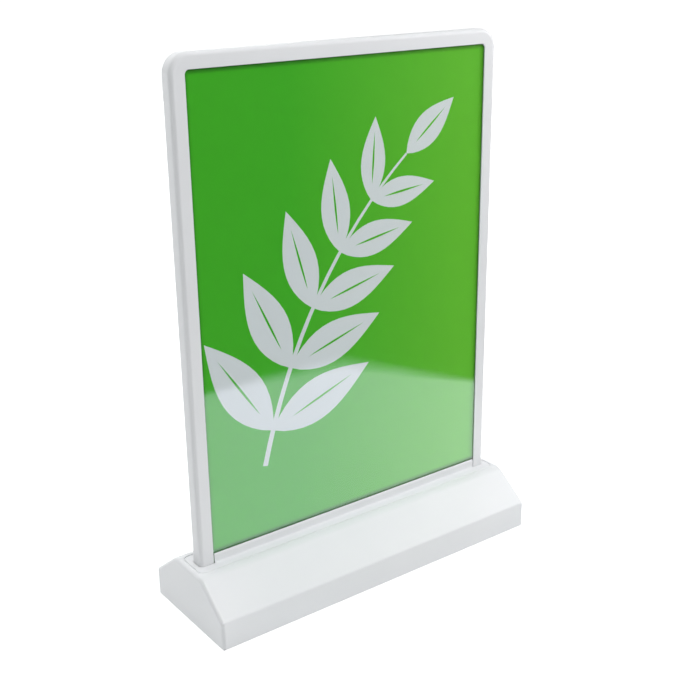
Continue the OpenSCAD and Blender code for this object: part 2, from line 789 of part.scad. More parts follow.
module diffuser(y0) {
    color([0.95, 0.95, 0.95, 0.8])
        sheet(film_w - 2 * tape_t, guide_z, guide_top, groove_r - groove_gap, y0, diffuser_t);
}

module front_diffuser() {
    diffuser(-diffuser_y);
}

module back_diffuser() {
    diffuser(guide_y);
}

module light_guide() {
    color([0.9, 0.97, 0.95, 0.5])
        sheet(film_w - 2 * tape_t, guide_z, guide_top, groove_r - groove_gap, -guide_y, guide_t);
}

// Tape round the guide's sides and top, open along its lower edge
module edge_tape() {
    guide_r = groove_r - groove_gap;
    below = guide_z - 2 * groove_r;
    color("silver")
    difference() {
        sheet(film_w, guide_z, guide_top + tape_t, guide_r + tape_t, -guide_y, guide_t);
        sheet(film_w - 2 * tape_t, below, guide_top, guide_r, -guide_y - eps, guide_t + 2 * eps);
        translate([-base_l / 2, -frame_t, guide_z - 2 * eps]) cube([base_l, 2 * frame_t, groove_r + 2 * eps]);
    }
}

module led_channel() {
    half = clear_y + channel_t;
    color("lightgray")
    difference() {
        translate([-channel_l / 2, -half, channel_z]) cube([channel_l, 2 * half, channel_top - channel_z]);
        translate([-base_l / 2, -clear_y, channel_z + channel_t]) cube([base_l, 2 * clear_y, base_h]);
        translate([notch_x, -board_w / 2, channel_z - eps]) cube([notch_l + eps, board_w, base_h]);
        for (x = [-cradle_at, cradle_at])
            translate([x, 0, channel_z - eps]) cylinder(h = base_h, r = pilot_r);
    }
}

module channel_screws() {
    color("silver")
    for (x = [-cradle_at, cradle_at])
        translate([x, 0, plate_z]) screw(channel_z + channel_t - plate_z);
}

// Adhesive tape, as far as the notch for the wires
module board_tape() {
    color("gray")
        translate([-board_l / 2, -board_w / 2, channel_z + channel_t])
            cube([notch_x + board_l / 2, board_w, adhesive_t]);
}

module led_board() {
    color("ivory") translate([-board_l / 2, -board_w / 2, board_z]) cube([board_l, board_w, board_t]);
}

// Each chip has a shallow round window in its top
module led_chips() {
    color("gold")
    for (i = [0 : chip_n - 1])
        translate([chip_x0 + i * chip_pitch, 0, board_z + board_t])
            difference() {
                translate([-chip_l / 2, -chip_w / 2, 0]) cube([chip_l, chip_w, chip_h]);
                translate([0, 0, chip_h - window_d]) cylinder(h = eps, r = window_r);
            }
}

// One resistor after every third chip
module led_resistors() {
    color("dimgray")
    for (i = [2 : 3 : chip_n - 2])
        translate([chip_x0 + (i + 0.5) * chip_pitch, 0, board_z + board_t + resistor_h / 2])
            cube([resistor_w, resistor_l, resistor_h], center = true);
}

module dc_jack_body() {
    color("black")
    difference() {
        union() {
            along_y(jack_back, port_y) translate([jack_cx, port_z]) circle(jack_r);
            along_y(port_y, port_y + jack_flange_t) translate([jack_cx, port_z]) circle(jack_flange_r);
        }
        along_y(port_y + jack_flange_t - jack_bore_l, port_y + jack_flange_t + eps)
            translate([jack_cx, port_z]) circle(jack_bore_r);
        along_y(jack_back - eps, port_y) translate([jack_cx, port_z]) circle(jack_root_r);
        along_y(jack_back - eps, jack_back + blade_in)
            translate([jack_cx + lug_dx, port_z]) square([lug_t, lug_w], center = true);
    }
}

module dc_jack_pin() {
    y0 = port_y + jack_flange_t - jack_bore_l;
    color("silver") {
        along_y(jack_back, y0) translate([jack_cx, port_z]) circle(jack_root_r);
        along_y(y0, y0 + jack_pin_l) translate([jack_cx, port_z]) circle(jack_pin_r);
        along_y(jack_end, jack_back) translate([jack_cx, port_z]) square([lug_t, lug_w], center = true);
    }
}

module dc_jack_contact() {
    color("silver")
    along_y(jack_end, jack_back + blade_in)
        translate([jack_cx + lug_dx, port_z]) square([lug_t, lug_w], center = true);
}

module dc_jack_nut() {
    color("silver")
    along_y(port_wall_y - nut_t, port_wall_y)
        translate([jack_cx, port_z])
            difference() {
                rotate(30) circle(r = nut_w / 2 / cos(30), $fn = 6);
                circle(jack_r + nut_gap);
            }
}

module switch_housing() {
    cavity_x = rocker_r + rocker_gap;
    cavity_z = rocker_h / 2 + rocker_gap;
    cavity_d = norm([keel_x, rocker_d]) + rocker_gap;
    color([0.15, 0.15, 0.16])
    difference() {
        union() {
            along_y(port_y, port_y + bezel_t)
                translate([switch_cx, port_z]) round_rect(bezel_w, bezel_h, bezel_r);
            translate([switch_cx - housing_x, housing_back, port_z - housing_z])
                cube([2 * housing_x, switch_d + bezel_t / 2, 2 * housing_z]);
        }
        translate([switch_cx - cavity_x, rocker_cy - cavity_d, port_z - cavity_z])
            cube([2 * cavity_x, base_w, 2 * cavity_z]);
        translate([switch_cx, rocker_cy, port_z - trunnion_z - trunnion_gap])
            cylinder(h = 2 * (trunnion_z + trunnion_gap), r = trunnion_r + trunnion_gap);
        for (s = [-1, 1])
            translate([switch_cx + s * blade_dx, housing_back, port_z])
                cube([blade_w, 2 * blade_in, blade_t], center = true);
    }
}

// The rocker rests tilted with its left half pressed in
module switch_rocker() {
    rise = rocker_r * tan(rocker_tilt);
    color([0.12, 0.12, 0.13])
    translate([switch_cx, rocker_cy, port_z])
        rotate(-rocker_tilt) {
            translate([0, 0, -rocker_h / 2])
                linear_extrude(rocker_h)
                    intersection() {
                        circle(rocker_r);
                        polygon([[-rocker_r, -rocker_skirt], [-keel_x, -rocker_d], [keel_x, -rocker_d],
                            [rocker_r, -rocker_skirt], [rocker_r, rocker_v + rise], [0, rocker_v],
                            [-rocker_r, rocker_v + rise]]);
                    }
            translate([0, 0, -trunnion_z]) cylinder(h = 2 * trunnion_z, r = trunnion_r);
        }
}

module switch_blades() {
    color("gold")
    for (s = [-1, 1])
        translate([switch_cx + s * blade_dx - blade_w / 2, blade_end, port_z - blade_t / 2])
            cube([blade_w, blade_l + blade_in, blade_t]);
}

// Ring round a joint, from a wire's end at y1 - sleeve_wire to beyond y1
module joint_sleeve(x, y1, w, h, r) {
    along_y(y1 - sleeve_wire, y1 + sleeve_lug)
        translate([x, port_z])
            difference() {
                round_rect(w + 2 * sleeve_t, h + 2 * sleeve_t, r + sleeve_t);
                round_rect(w, h, r);
            }
}

module joint_sleeves() {
    lug_in = 2 * sleeve_gap + norm([lug_w, lug_t]);
    blade_in_w = blade_w + 2 * sleeve_gap;
    blade_in_h = 2 * wire_r + 6 * sleeve_gap;
    color("dimgray") {
        for (x = [jack_cx, jack_cx + lug_dx])
            joint_sleeve(x, jack_end, lug_in, lug_in, lug_in / 2 - sleeve_gap);
        for (s = [-1, 1])
            joint_sleeve(switch_cx + s * blade_dx, blade_end, blade_in_w, blade_in_h, 4 * sleeve_gap);
    }
}

module wire_black() {
    color([0.1, 0.1, 0.1]) tube(wire_black_path, wire_r);
}

module wire_red_feed() {
    color("firebrick") tube(wire_feed_path, wire_r);
}

module wire_red_led() {
    color("firebrick") tube(wire_led_path, wire_r);
}

base_cover();
base_plate();
rubber_feet();
base_screws();
front_ballast();
rear_ballast();
ballast_screws();
collar();
frame_hoop();
front_clear_cover();
back_clear_cover();
front_picture();
back_picture();
front_diffuser();
back_diffuser();
light_guide();
edge_tape();
led_channel();
channel_screws();
board_tape();
led_board();
led_chips();
led_resistors();
dc_jack_body();
dc_jack_pin();
dc_jack_contact();
dc_jack_nut();
switch_housing();
switch_rocker();
switch_blades();
joint_sleeves();
wire_black();
wire_red_feed();
wire_red_led();
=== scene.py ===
"""A table-top light box with a printed film on each side, dressed for its photograph.

The shell, collar, hoop, sheets, feet, inlet and switch are built here as meshes. The pieces inside
keep their construction meshes and get their finish here. Lengths are in millimetres until a mesh is
handed over in metres.
"""
import math

import bmesh
import bpy
from mathutils import Matrix, Quaternion, Vector
from mathutils.geometry import delaunay_2d_cdt


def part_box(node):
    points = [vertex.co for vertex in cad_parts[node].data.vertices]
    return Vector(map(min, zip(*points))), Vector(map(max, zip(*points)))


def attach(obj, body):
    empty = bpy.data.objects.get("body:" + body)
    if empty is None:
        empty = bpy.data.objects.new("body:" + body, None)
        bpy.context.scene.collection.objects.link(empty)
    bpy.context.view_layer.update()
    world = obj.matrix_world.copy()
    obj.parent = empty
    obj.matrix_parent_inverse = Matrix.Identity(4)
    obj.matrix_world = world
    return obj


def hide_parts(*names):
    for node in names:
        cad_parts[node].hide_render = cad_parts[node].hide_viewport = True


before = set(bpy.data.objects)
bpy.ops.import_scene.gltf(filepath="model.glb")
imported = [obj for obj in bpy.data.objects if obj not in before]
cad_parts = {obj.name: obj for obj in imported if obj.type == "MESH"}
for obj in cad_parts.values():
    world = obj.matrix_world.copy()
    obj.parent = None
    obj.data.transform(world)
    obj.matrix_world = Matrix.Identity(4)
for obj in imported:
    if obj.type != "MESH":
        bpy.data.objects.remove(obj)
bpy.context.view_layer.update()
MM = 0.001

# Camera: the photographer stands to the front left, a little above the frame's top, and uses a
# portrait lens. The place, the aim and the slight tilt to the right were solved from the photograph.
CAMERA_AT = Vector((-369.4, -498.3, 368.6))
CAMERA_AIM = Vector((-5.1, 0, 147.4))
CAMERA_ROLL = math.radians(-0.87)
LENS = 59.16
camera = bpy.data.objects.new("camera", bpy.data.cameras.new("camera"))
camera.data.lens = LENS
camera.location = CAMERA_AT * MM
aimed = (CAMERA_AIM - CAMERA_AT).to_track_quat("-Z", "Y")
camera.rotation_euler = (aimed @ Quaternion((0, 0, 1), CAMERA_ROLL)).to_euler()
bpy.context.collection.objects.link(camera)
bpy.context.scene.camera = camera
bpy.context.scene.view_settings.view_transform = "Standard"


# Table: a wide sheet of white paper that the exposure burns out, so that only a thin contact shadow
# stays. A dark sheet that only the gloss sees lies askew in front, out of the picture: it paints a
# dark reflection over the upper part of the gloss, and the lower part mirrors the paper.
def linear(colour):
    """An sRGB hex colour as the linear RGBA that a shader takes"""
    parts = [int(colour[i:i + 2], 16) / 255 for i in (1, 3, 5)]
    return [c / 12.92 if c < 0.04045 else ((c + 0.055) / 1.055) ** 2.4 for c in parts] + [1]


def add_node(tree, kind, inputs=None, **settings):
    """Adds a shader node with its settings, and with a value or another node's output on each input"""
    node = tree.nodes.new("ShaderNode" + kind)
    for name, value in settings.items():
        setattr(node, name, value)
    for name, value in (inputs or {}).items():
        if isinstance(value, bpy.types.NodeSocket):
            tree.links.new(value, node.inputs[name])
        else:
            node.inputs[name].default_value = value
    return node


def place_mesh(bm, name):
    """Hands a mesh that is drawn in millimetres over to the scene as an object"""
    mesh = bpy.data.meshes.new(name)
    bmesh.ops.recalc_face_normals(bm, faces=bm.faces)
    bm.to_mesh(mesh)
    bm.free()
    mesh.transform(Matrix.Scale(MM, 4))
    placed = bpy.data.objects.new(name, mesh)
    bpy.context.collection.objects.link(placed)
    return placed


def skin(bm, rings, closed):
    """Faces between neighbouring rings of points. Each ring is closed on itself, or open"""
    rows = [[bm.verts.new(point) for point in ring] for ring in rings]
    for low, high in zip(rows, rows[1:]):
        for i in range(len(low) if closed else len(low) - 1):
            j = (i + 1) % len(low)
            bm.faces.new((low[i], low[j], high[j], high[i]))
    return rows


TABLE_REACH = 16000
FOOTPRINT = (114.5, 36.9, 1000)
PAPER_GLOW = 0.9
PAPER_GLOW_MIRRORED = 1.45
# The dark reflection sheet's near edge, with the width over which it thins out there
REFLECTION_SHEET_EDGE = [(-4000, -940, 9), (60, -294, 9), (150, -281, 25), (190, -268, 45),
              (216, -232, 30), (262, -173, 12), (3000, 3660, 12)]
REFLECTION_SHEET_REACH = 6000
REFLECTION_SHEET_Z = 1
REFLECTION_SHEET_GLOW = 0.05


def rim_share(tree, place, halves):
    """How far a place lies on its way from the middle of a box to its sides: 1 on the box itself"""
    share = add_node(tree, "VectorMath", {0: place, 1: [half * MM for half in halves]}, operation="DIVIDE")
    away = add_node(tree, "VectorMath", {0: share.outputs[0]}, operation="ABSOLUTE")
    parts = add_node(tree, "SeparateXYZ", {0: away.outputs[0]})
    flat = add_node(tree, "Math", {0: parts.outputs["X"], 1: parts.outputs["Y"]}, operation="MAXIMUM")
    most = add_node(tree, "Math", {0: flat.outputs[0], 1: parts.outputs["Z"]}, operation="MAXIMUM")
    return most.outputs[0]


def lay(bm, name, material):
    """Lays a level sheet, which isn't part of the object"""
    laid = place_mesh(bm, name)
    laid.data.materials.append(material)
    return laid


def burnt_out_paper():
    """Matt white paper. Its own light stands for the exposure, and in the gloss it glows brighter
    still, which paints a brighter reflection of it. It spares what the paper lights and the ground
    under the base, so that the gap there stays dark."""
    material = bpy.data.materials.new("burnt_out_paper")
    material.use_nodes = True
    tree = material.node_tree
    tree.nodes.clear()
    place = add_node(tree, "TexCoord").outputs["Object"]
    fibre = add_node(tree, "TexNoise", {"Vector": place, "Scale": 300, "Detail": 3})
    tone = add_node(tree, "ValToRGB", {"Fac": fibre.outputs["Fac"]})
    tone.color_ramp.elements[0].color = linear("#c6c7c8")
    tone.color_ramp.elements[1].color = linear("#cbcccd")
    paper = add_node(tree, "BsdfDiffuse", {"Color": tone.outputs["Color"]})
    ray = add_node(tree, "LightPath")
    # Painted reflection: in the gloss the paper glows brighter than where the camera sees it
    power = add_node(tree, "MapRange", {"Value": ray.outputs["Is Glossy Ray"],
                                        "To Min": PAPER_GLOW, "To Max": PAPER_GLOW_MIRRORED})
    share = rim_share(tree, place, FOOTPRINT)
    open_air = add_node(tree, "Math", {0: share, 1: 1}, operation="GREATER_THAN")
    lit = add_node(tree, "Math", {0: power.outputs["Result"], 1: open_air.outputs[0]}, operation="MULTIPLY")
    glow = add_node(tree, "Emission", {"Color": linear("#ffffff"), "Strength": lit.outputs[0]})
    both = add_node(tree, "AddShader", {0: paper.outputs[0], 1: glow.outputs[0]})
    diffuse = ray.outputs["Is Diffuse Ray"]
    seen = add_node(tree, "MixShader", {0: diffuse, 1: both.outputs[0], 2: paper.outputs[0]})
    add_node(tree, "OutputMaterial", {"Surface": seen.outputs[0]})
    return material


def dark_reflection_sheet():
    """A dim grey glow that paints a dark reflection in the gloss. It thins out along its edge."""
    material = bpy.data.materials.new("dark_reflection_sheet")
    material.use_nodes = True
    tree = material.node_tree
    tree.nodes.clear()
    dim_glow = add_node(tree, "Emission", {"Color": linear("#ffffff"), "Strength": REFLECTION_SHEET_GLOW})
    gap = add_node(tree, "BsdfTransparent")
    dense = add_node(tree, "Attribute", attribute_name="dense").outputs["Fac"]
    reflection_sheet = add_node(tree, "MixShader", {0: dense, 1: gap.outputs[0], 2: dim_glow.outputs[0]})
    add_node(tree, "OutputMaterial", {"Surface": reflection_sheet.outputs[0]})
    return material


def lay_reflection_sheet():
    """The dark sheet lies outside its edge line, just above the paper, and shows only in the gloss"""
    bm = bmesh.new()
    dense = bm.verts.layers.float.new("dense")
    edge = [Vector((x, y, REFLECTION_SHEET_Z)) for x, y, hem in REFLECTION_SHEET_EDGE]
    last = len(edge) - 1
    ways = [(edge[min(i + 1, last)] - edge[max(i - 1, 0)]).normalized() for i in range(len(edge))]
    outwards = [Vector((way.y, -way.x, 0)) for way in ways]
    hems = [point + out * hem for point, out, (x, y, hem) in zip(edge, outwards, REFLECTION_SHEET_EDGE)]
    far = [point + out * REFLECTION_SHEET_REACH for point, out in zip(edge, outwards)]
    rows = skin(bm, [edge, hems, far], closed=False)
    for vert in rows[1] + rows[2]:
        vert[dense] = 1
    reflection_sheet = lay(bm, "reflection_sheet", dark_reflection_sheet())
    reflection_sheet.visible_camera = False
    reflection_sheet.visible_diffuse = False
    reflection_sheet.visible_shadow = False
    reflection_sheet.visible_transmission = False


sheet_of_paper = bmesh.new()
sides = [[(x * TABLE_REACH, y * TABLE_REACH, 0) for x in (-1, 1)] for y in (-1, 1)]
skin(sheet_of_paper, sides, closed=False)
lay(sheet_of_paper, "table", burnt_out_paper())
lay_reflection_sheet()


# Studio light: soft boxes high in front, overhead, on the left and on the right, and a wide lit wall
# behind. The pale walls all round are burnt out like the paper where the camera sees them. The light
# falls off softly from right to left.
WALLS = 0.32
WALLS_SEEN = 1.1
LIT_POINT = Vector((0, 0, 150))
world = bpy.data.worlds.new("studio")
bpy.context.scene.world = world
world.use_nodes = True
pale_walls = world.node_tree.nodes["Background"]
pale_walls.inputs["Color"].default_value = linear("#fafdff")
ray = add_node(world.node_tree, "LightPath")
burnt_out = add_node(world.node_tree, "MapRange", {"Value": ray.outputs["Is Camera Ray"],
                                                   "To Min": WALLS, "To Max": WALLS_SEEN})
world.node_tree.links.new(burnt_out.outputs["Result"], pale_walls.inputs["Strength"])


def soft_box(name, at, size, watts, tint):
    """A square soft box that faces the picture"""
    lamp = bpy.data.lights.new(name, "AREA")
    lamp.size = size * MM
    lamp.energy = watts
    lamp.color = linear(tint)[:3]
    box = bpy.data.objects.new(name, lamp)
    box.location = Vector(at) * MM
    box.rotation_euler = (LIT_POINT - Vector(at)).to_track_quat("-Z", "Y").to_euler()
    bpy.context.collection.objects.link(box)


soft_box("high_front", (0, -1000, 1200), 1000, 6.2, "#fffeff")
soft_box("high_left", (-800, -900, 1200), 900, 1.5, "#fdffff")
soft_box("high_right", (900, -900, 1200), 900, 1.2, "#fffeff")
soft_box("overhead", (0, 0, 1500), 1500, 7, "#ffffff")
soft_box("near_right", (620, -300, 420), 400, 1.8, "#fffdff")
soft_box("wall_right", (1500, -200, 500), 1200, 3, "#ffffff")
soft_box("wall_left", (-1300, 1000, 600), 1200, 3.5, "#fcffff")
soft_box("wall_behind", (0, 1800, 700), 2400, 26, "#ffffff")


# Base shell: one ABS moulding, open below, with sloped long faces, soft brows and flat ends. The
# collar's seat is sunk into its top, and the inlet and the switch sit in a recess in its back wall.
SHELL_WALL = 2.4
UPRIGHT = 16.5
SLOPE = math.radians(37.5)
BROW_R = 9
RIDGE_R = 2
END_R = 2
BROW_Y = 14.8
DECK_UNDER = 29.4
SEAT_Z = 32
SEAT = (224.8, 23.2, 4.6)
DECK_SLOT = (220.7, 13.5)
PORT = (39.7, 11.2, 1.5)
PORT_AT = (75.35, 10.2)
PORT_FLOOR = 34.367
JACK_X = 87
SWITCH_X = 66
PORT_Z = 10.2
PORT_RIM = 1
JACK_HOLE = (8.1, 8.1, 4)
SWITCH_HOLE = (13.3, 9.1, 0.3)

shell_low, shell_high = (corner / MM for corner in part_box("base_cover"))


def rounded(corners, radii, steps=6):
    """A line through the corners, where each corner with a radius becomes an arc"""
    line = []
    count = len(corners)
    for i, radius in enumerate(radii):
        corner = Vector(corners[i])
        if radius == 0:
            line.append(corner)
            continue
        a = (Vector(corners[i - 1]) - corner).normalized()
        b = (Vector(corners[(i + 1) % count]) - corner).normalized()
        half = a.angle(b) / 2
        centre = corner + (a + b).normalized() * radius / math.sin(half)
        start = corner + a * radius / math.tan(half) - centre
        end = corner + b * radius / math.tan(half) - centre
        sweep = math.pi - 2 * half
        for k in range(steps + 1):
            t = k / steps
            swing = start * math.sin(sweep * (1 - t)) + end * math.sin(sweep * t)
            line.append(centre + swing / math.sin(sweep))
    return line


def rounded_box(width, height, radius, centre=(0, 0), steps=6):
    """Outline of a rectangle with round corners"""
    w, h = width / 2, height / 2
    corners = [(centre[0] + x, centre[1] + y) for x, y in ((-w, -h), (w, -h), (w, h), (-w, h))]
    return rounded(corners, [radius] * 4, steps)


def prism(outline, low, high, axis="z", soft=0.0):
    """A solid with that outline across the axis, and with its two rims rounded by soft"""
    place = {"x": lambda a, b, c: (c, a, b),
             "y": lambda a, b, c: (a, c, b),
             "z": lambda a, b, c: (a, b, c)}[axis]
    bm = bmesh.new()
    rows = skin(bm, [[place(a, b, c) for a, b in outline] for c in (low, high)], closed=True)
    ends = [bm.faces.new(row) for row in rows]
    bmesh.ops.recalc_face_normals(bm, faces=bm.faces)
    if soft:
        rims = {edge for end in ends for edge in end.edges}
        bmesh.ops.bevel(bm, geom=list(rims), offset=soft, segments=3, profile=0.5, affect="EDGES")
    return bm


def lathe(profile, steps=32):
    """A turned solid about the Z axis. The profile is a list of (radius, height). It runs from the axis
    to the axis, or else it is a closed outline beside the axis."""
    bm = bmesh.new()
    turns = [math.tau * i / steps for i in range(steps)]
    solid = profile[0][0] == 0
    rings = [[(r * math.cos(a), r * math.sin(a), z) for a in turns] for r, z in profile if r > 0]
    rows = skin(bm, rings, closed=True)
    ends = ((rows[0], profile[0][1]), (rows[-1], profile[-1][1])) if solid else ()
    for row, height in ends:
        tip = bm.verts.new((0, 0, height))
        for i in range(steps):
            bm.faces.new((row[i], row[(i + 1) % steps], tip))
    if not solid:
        for i in range(steps):
            j = (i + 1) % steps
            bm.faces.new((rows[-1][i], rows[-1][j], rows[0][j], rows[0][i]))
    return bm


def moved(bm, place, turn=0.0, axis="Z"):
    """The same solid, turned about an axis by degrees and then moved"""
    bm.transform(Matrix.Translation(place) @ Matrix.Rotation(math.radians(turn), 4, axis))
    return bm


def joined(*solids):
    """Several solids as one mesh"""
    mesh = bpy.data.meshes.new("joined")
    whole = bmesh.new()
    for bm in solids:
        bmesh.ops.recalc_face_normals(bm, faces=bm.faces)
        bm.to_mesh(mesh)
        bm.free()
        whole.from_mesh(mesh)
    bpy.data.meshes.remove(mesh)
    return whole


def carve(piece, solid, operation="DIFFERENCE"):
    """Cuts a solid from the piece, or unites the two"""
    tool = place_mesh(solid, "tool")
    cut = piece.modifiers.new("cut", "BOOLEAN")
    cut.object = tool
    cut.operation = operation
    cut.solver = "EXACT"
    carved = bpy.data.meshes.new_from_object(piece.evaluated_get(bpy.context.evaluated_depsgraph_get()))
    piece.modifiers.clear()
    piece.data = carved
    bpy.data.objects.remove(tool)


def finish_piece(piece, body, materials, nodes, edge=0.0, smooth=30):
    """Gives a piece its finish, its soft edges and its body. It stands for the construction nodes"""
    for material in materials:
        piece.data.materials.append(material)
    piece.data.shade_smooth()
    piece.data.set_sharp_from_angle(angle=math.radians(smooth))
    if edge:
        bevel = piece.modifiers.new("soft_edges", "BEVEL")
        bevel.width = edge * MM
        bevel.segments = 2
        bevel.limit_method = "ANGLE"
        bevel.angle_limit = math.radians(40)
    piece.modifiers.new("even_shade", "WEIGHTED_NORMAL").keep_sharp = True
    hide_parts(*nodes)
    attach(piece, body)
    return piece


def start_material(name, ior, metallic=0.0):
    """A material with one Principled surface: itself, its tree, that surface and the place on the piece"""
    material = bpy.data.materials.new(name)
    material.use_nodes = True
    tree = material.node_tree
    surface = tree.nodes["Principled BSDF"]
    surface.inputs["IOR"].default_value = ior
    surface.inputs["Metallic"].default_value = metallic
    return material, tree, surface, add_node(tree, "TexCoord").outputs["Object"]


def spread(tree, pattern, low, high, socket, start=0.3, stop=0.7):
    """Colours a pattern from one colour to another, and hands it to a socket"""
    ramp = add_node(tree, "ValToRGB", {"Fac": pattern})
    for element, position, colour in zip(ramp.color_ramp.elements, (start, stop), (low, high)):
        element.position = position
        element.color = linear(colour)
    tree.links.new(ramp.outputs["Color"], socket)


def vary(tree, pattern, low, high, socket):
    """Spreads a pattern between two numbers, and hands it to a socket"""
    reach = add_node(tree, "MapRange", {"Value": pattern, "To Min": low, "To Max": high})
    tree.links.new(reach.outputs["Result"], socket)


def raise_by(tree, pattern, height, surface):
    """Lets a pattern stand out of the surface by a height in millimetres"""
    bump = add_node(tree, "Bump", {"Height": pattern, "Distance": height * MM})
    tree.links.new(bump.outputs["Normal"], surface.inputs["Normal"])


def moulded_abs(name, pale, dark, rough, grain):
    """ABS from a spark-eroded mould: satin, pale, with a faint grain and a slow drift in its shade.
    The real grain is about 0.05 mm and never shows in the render, so it is drawn ten times as wide."""
    material, tree, surface, place = start_material(name, 1.53)
    drift = add_node(tree, "TexNoise", {"Vector": place, "Scale": 1 / (60 * MM), "Detail": 2})
    spread(tree, drift.outputs["Fac"], dark, pale, surface.inputs["Base Color"])
    pits = add_node(tree, "TexNoise", {"Vector": place, "Scale": 1 / (0.5 * MM), "Detail": 4})
    vary(tree, pits.outputs["Fac"], rough - 0.05, rough + 0.05, surface.inputs["Roughness"])
    raise_by(tree, pits.outputs["Fac"], grain, surface)
    return material


def shell_line(inset, x):
    """The shell's section at x, moved inwards by inset, from the front rim over the top to the back rim"""
    half, top = shell_high.y - inset, shell_high.z - inset
    lean = 1 / math.cos(SLOPE)
    ridge = shell_low.z + UPRIGHT - inset * (lean - math.tan(SLOPE))
    brow = BROW_Y - inset * (lean - 1) / math.tan(SLOPE)
    corners = [(-half, shell_low.z), (-half, ridge), (-brow, top),
               (brow, top), (half, ridge), (half, shell_low.z)]
    turn = max(RIDGE_R - inset, 0.1)
    radii = [0, turn, BROW_R - inset, BROW_R - inset, turn, 0]
    return [(x, y, z) for y, z in rounded(corners, radii, 10)]


def inner_line(x):
    """The shell's inner section at x, with the deck below the collar"""
    half = shell_high.y - SHELL_WALL
    lean = 1 / math.cos(SLOPE)
    ridge = shell_low.z + UPRIGHT - SHELL_WALL * (lean - math.tan(SLOPE))
    under = ridge + (half - BROW_Y) * math.tan(SLOPE)
    side = [(half, shell_low.z - 1), (half, ridge), (BROW_Y, under), (BROW_Y, DECK_UNDER)]
    return [(x, -y, z) for y, z in side] + [(x, y, z) for y, z in reversed(side)]


def capped(rings):
    """A solid through closed rings of points, with a flat face at each end"""
    bm = bmesh.new()
    rows = skin(bm, rings, closed=True)
    for row in (rows[0], rows[-1]):
        bm.faces.new(row)
    return bm


def build_shell():
    """The shell with its seat, slot, recess and holes. Each cut reaches past the skin that it opens"""
    turns = [math.radians(90 * i / 8) for i in range(9)]
    ends = [(shell_high.x - END_R * (1 - math.sin(a)), END_R * (1 - math.cos(a))) for a in turns]
    stations = [(-x, inset) for x, inset in reversed(ends)] + ends
    shell = place_mesh(capped([shell_line(inset, x) for x, inset in stations]), "base_shell")
    inner_x = shell_high.x - SHELL_WALL
    carve(shell, capped([inner_line(x) for x in (-inner_x, inner_x)]))
    top = shell_high.z
    carve(shell, prism(rounded_box(*SEAT, steps=10), SEAT_Z, top + 1))
    carve(shell, prism(rounded_box(*DECK_SLOT, 0.5), DECK_UNDER - 1, SEAT_Z + 1))
    tray = rounded_box(PORT[0] + 2 * PORT_RIM, PORT[1] + 2 * PORT_RIM, PORT[2], PORT_AT)
    carve(shell, prism(tray, PORT_FLOOR - SHELL_WALL, shell_high.y - 0.5, "y"), "UNION")
    carve(shell, prism(rounded_box(*PORT, PORT_AT), PORT_FLOOR, shell_high.y + 1, "y"))
    jack_hole = rounded_box(*JACK_HOLE, (JACK_X, PORT_Z))
    carve(shell, prism(jack_hole, PORT_FLOOR - SHELL_WALL - 1, PORT_FLOOR + 1, "y"))
    switch_hole = rounded_box(*SWITCH_HOLE, (SWITCH_X, PORT_Z))
    carve(shell, prism(switch_hole, PORT_FLOOR - SHELL_WALL - 1, PORT_FLOOR + 1, "y"))
    return shell


white_abs = moulded_abs("white_moulded_abs", "#e6e7e8", "#e2e4e5", 0.42, 0.012)
finish_piece(build_shell(), "base", [white_abs], ["base_cover"], edge=0.3)


# Base plate: a flat ABS moulding that closes the shell from below. Its finish is a coarser, flatter
# grain than the shell's. Three cradles on it hold the light channel.
def dress(node, material):
    """Gives a construction node its finish"""
    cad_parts[node].material_slots[0].material = material


dress("base_plate", moulded_abs("matt_plate_abs", "#dcdddf", "#d6d8da", 0.62, 0.03))


# Rubber feet: four turned discs, pressed into the plate's seats. Each has a soft rim and a shallow
# dimple, which keeps it from rocking.
FOOT_AT = (92.3, 25.867)


def rubber():
    """Black moulded nitrile rubber: nearly matt, with a grey bloom that lightens its high spots"""
    material, tree, surface, place = start_material("nitrile_rubber", 1.52)
    bloom = add_node(tree, "TexNoise", {"Vector": place, "Scale": 1 / (3 * MM), "Detail": 5})
    spread(tree, bloom.outputs["Fac"], "#1b1b1c", "#2b2b2d", surface.inputs["Base Color"])
    surface.inputs["Roughness"].default_value = 0.78
    pits = add_node(tree, "TexNoise", {"Vector": place, "Scale": 1 / (0.4 * MM), "Detail": 3})
    raise_by(tree, pits.outputs["Fac"], 0.02, surface)
    return material


foot = [(0, 0.15), (3.2, 0.15), (3.4, 0), (4.5, 0), (4.85, 0.15), (5, 0.5), (5, 2.4), (0, 2.4)]
feet_at = [(x, y, 0) for x in (-FOOT_AT[0], FOOT_AT[0]) for y in (-FOOT_AT[1], FOOT_AT[1])]
feet = joined(*[moved(lathe(foot), at) for at in feet_at])
finish_piece(place_mesh(feet, "feet"), "base", [rubber()], ["rubber_feet"])


# Screws: six of them close the base, four carry the ballast and two hold the channel. They are
# countersunk, cold-headed steel with a bright, faintly blue zinc plating.
def plated(name, pale, dark, rough):
    """Electroplated metal: a thin bright skin whose sheen wanders a little where the bath left it"""
    material, tree, surface, place = start_material(name, 1.5, metallic=1)
    cloud = add_node(tree, "TexNoise", {"Vector": place, "Scale": 1 / (1.2 * MM), "Detail": 4})
    spread(tree, cloud.outputs["Fac"], dark, pale, surface.inputs["Base Color"])
    vary(tree, cloud.outputs["Fac"], rough - 0.08, rough + 0.08, surface.inputs["Roughness"])
    raise_by(tree, cloud.outputs["Fac"], 0.004, surface)
    return material


zinc = plated("bright_zinc_on_steel", "#d5dade", "#b9bfc6", 0.3)
for node in ("base_screws", "ballast_screws", "channel_screws"):
    dress(node, zinc)


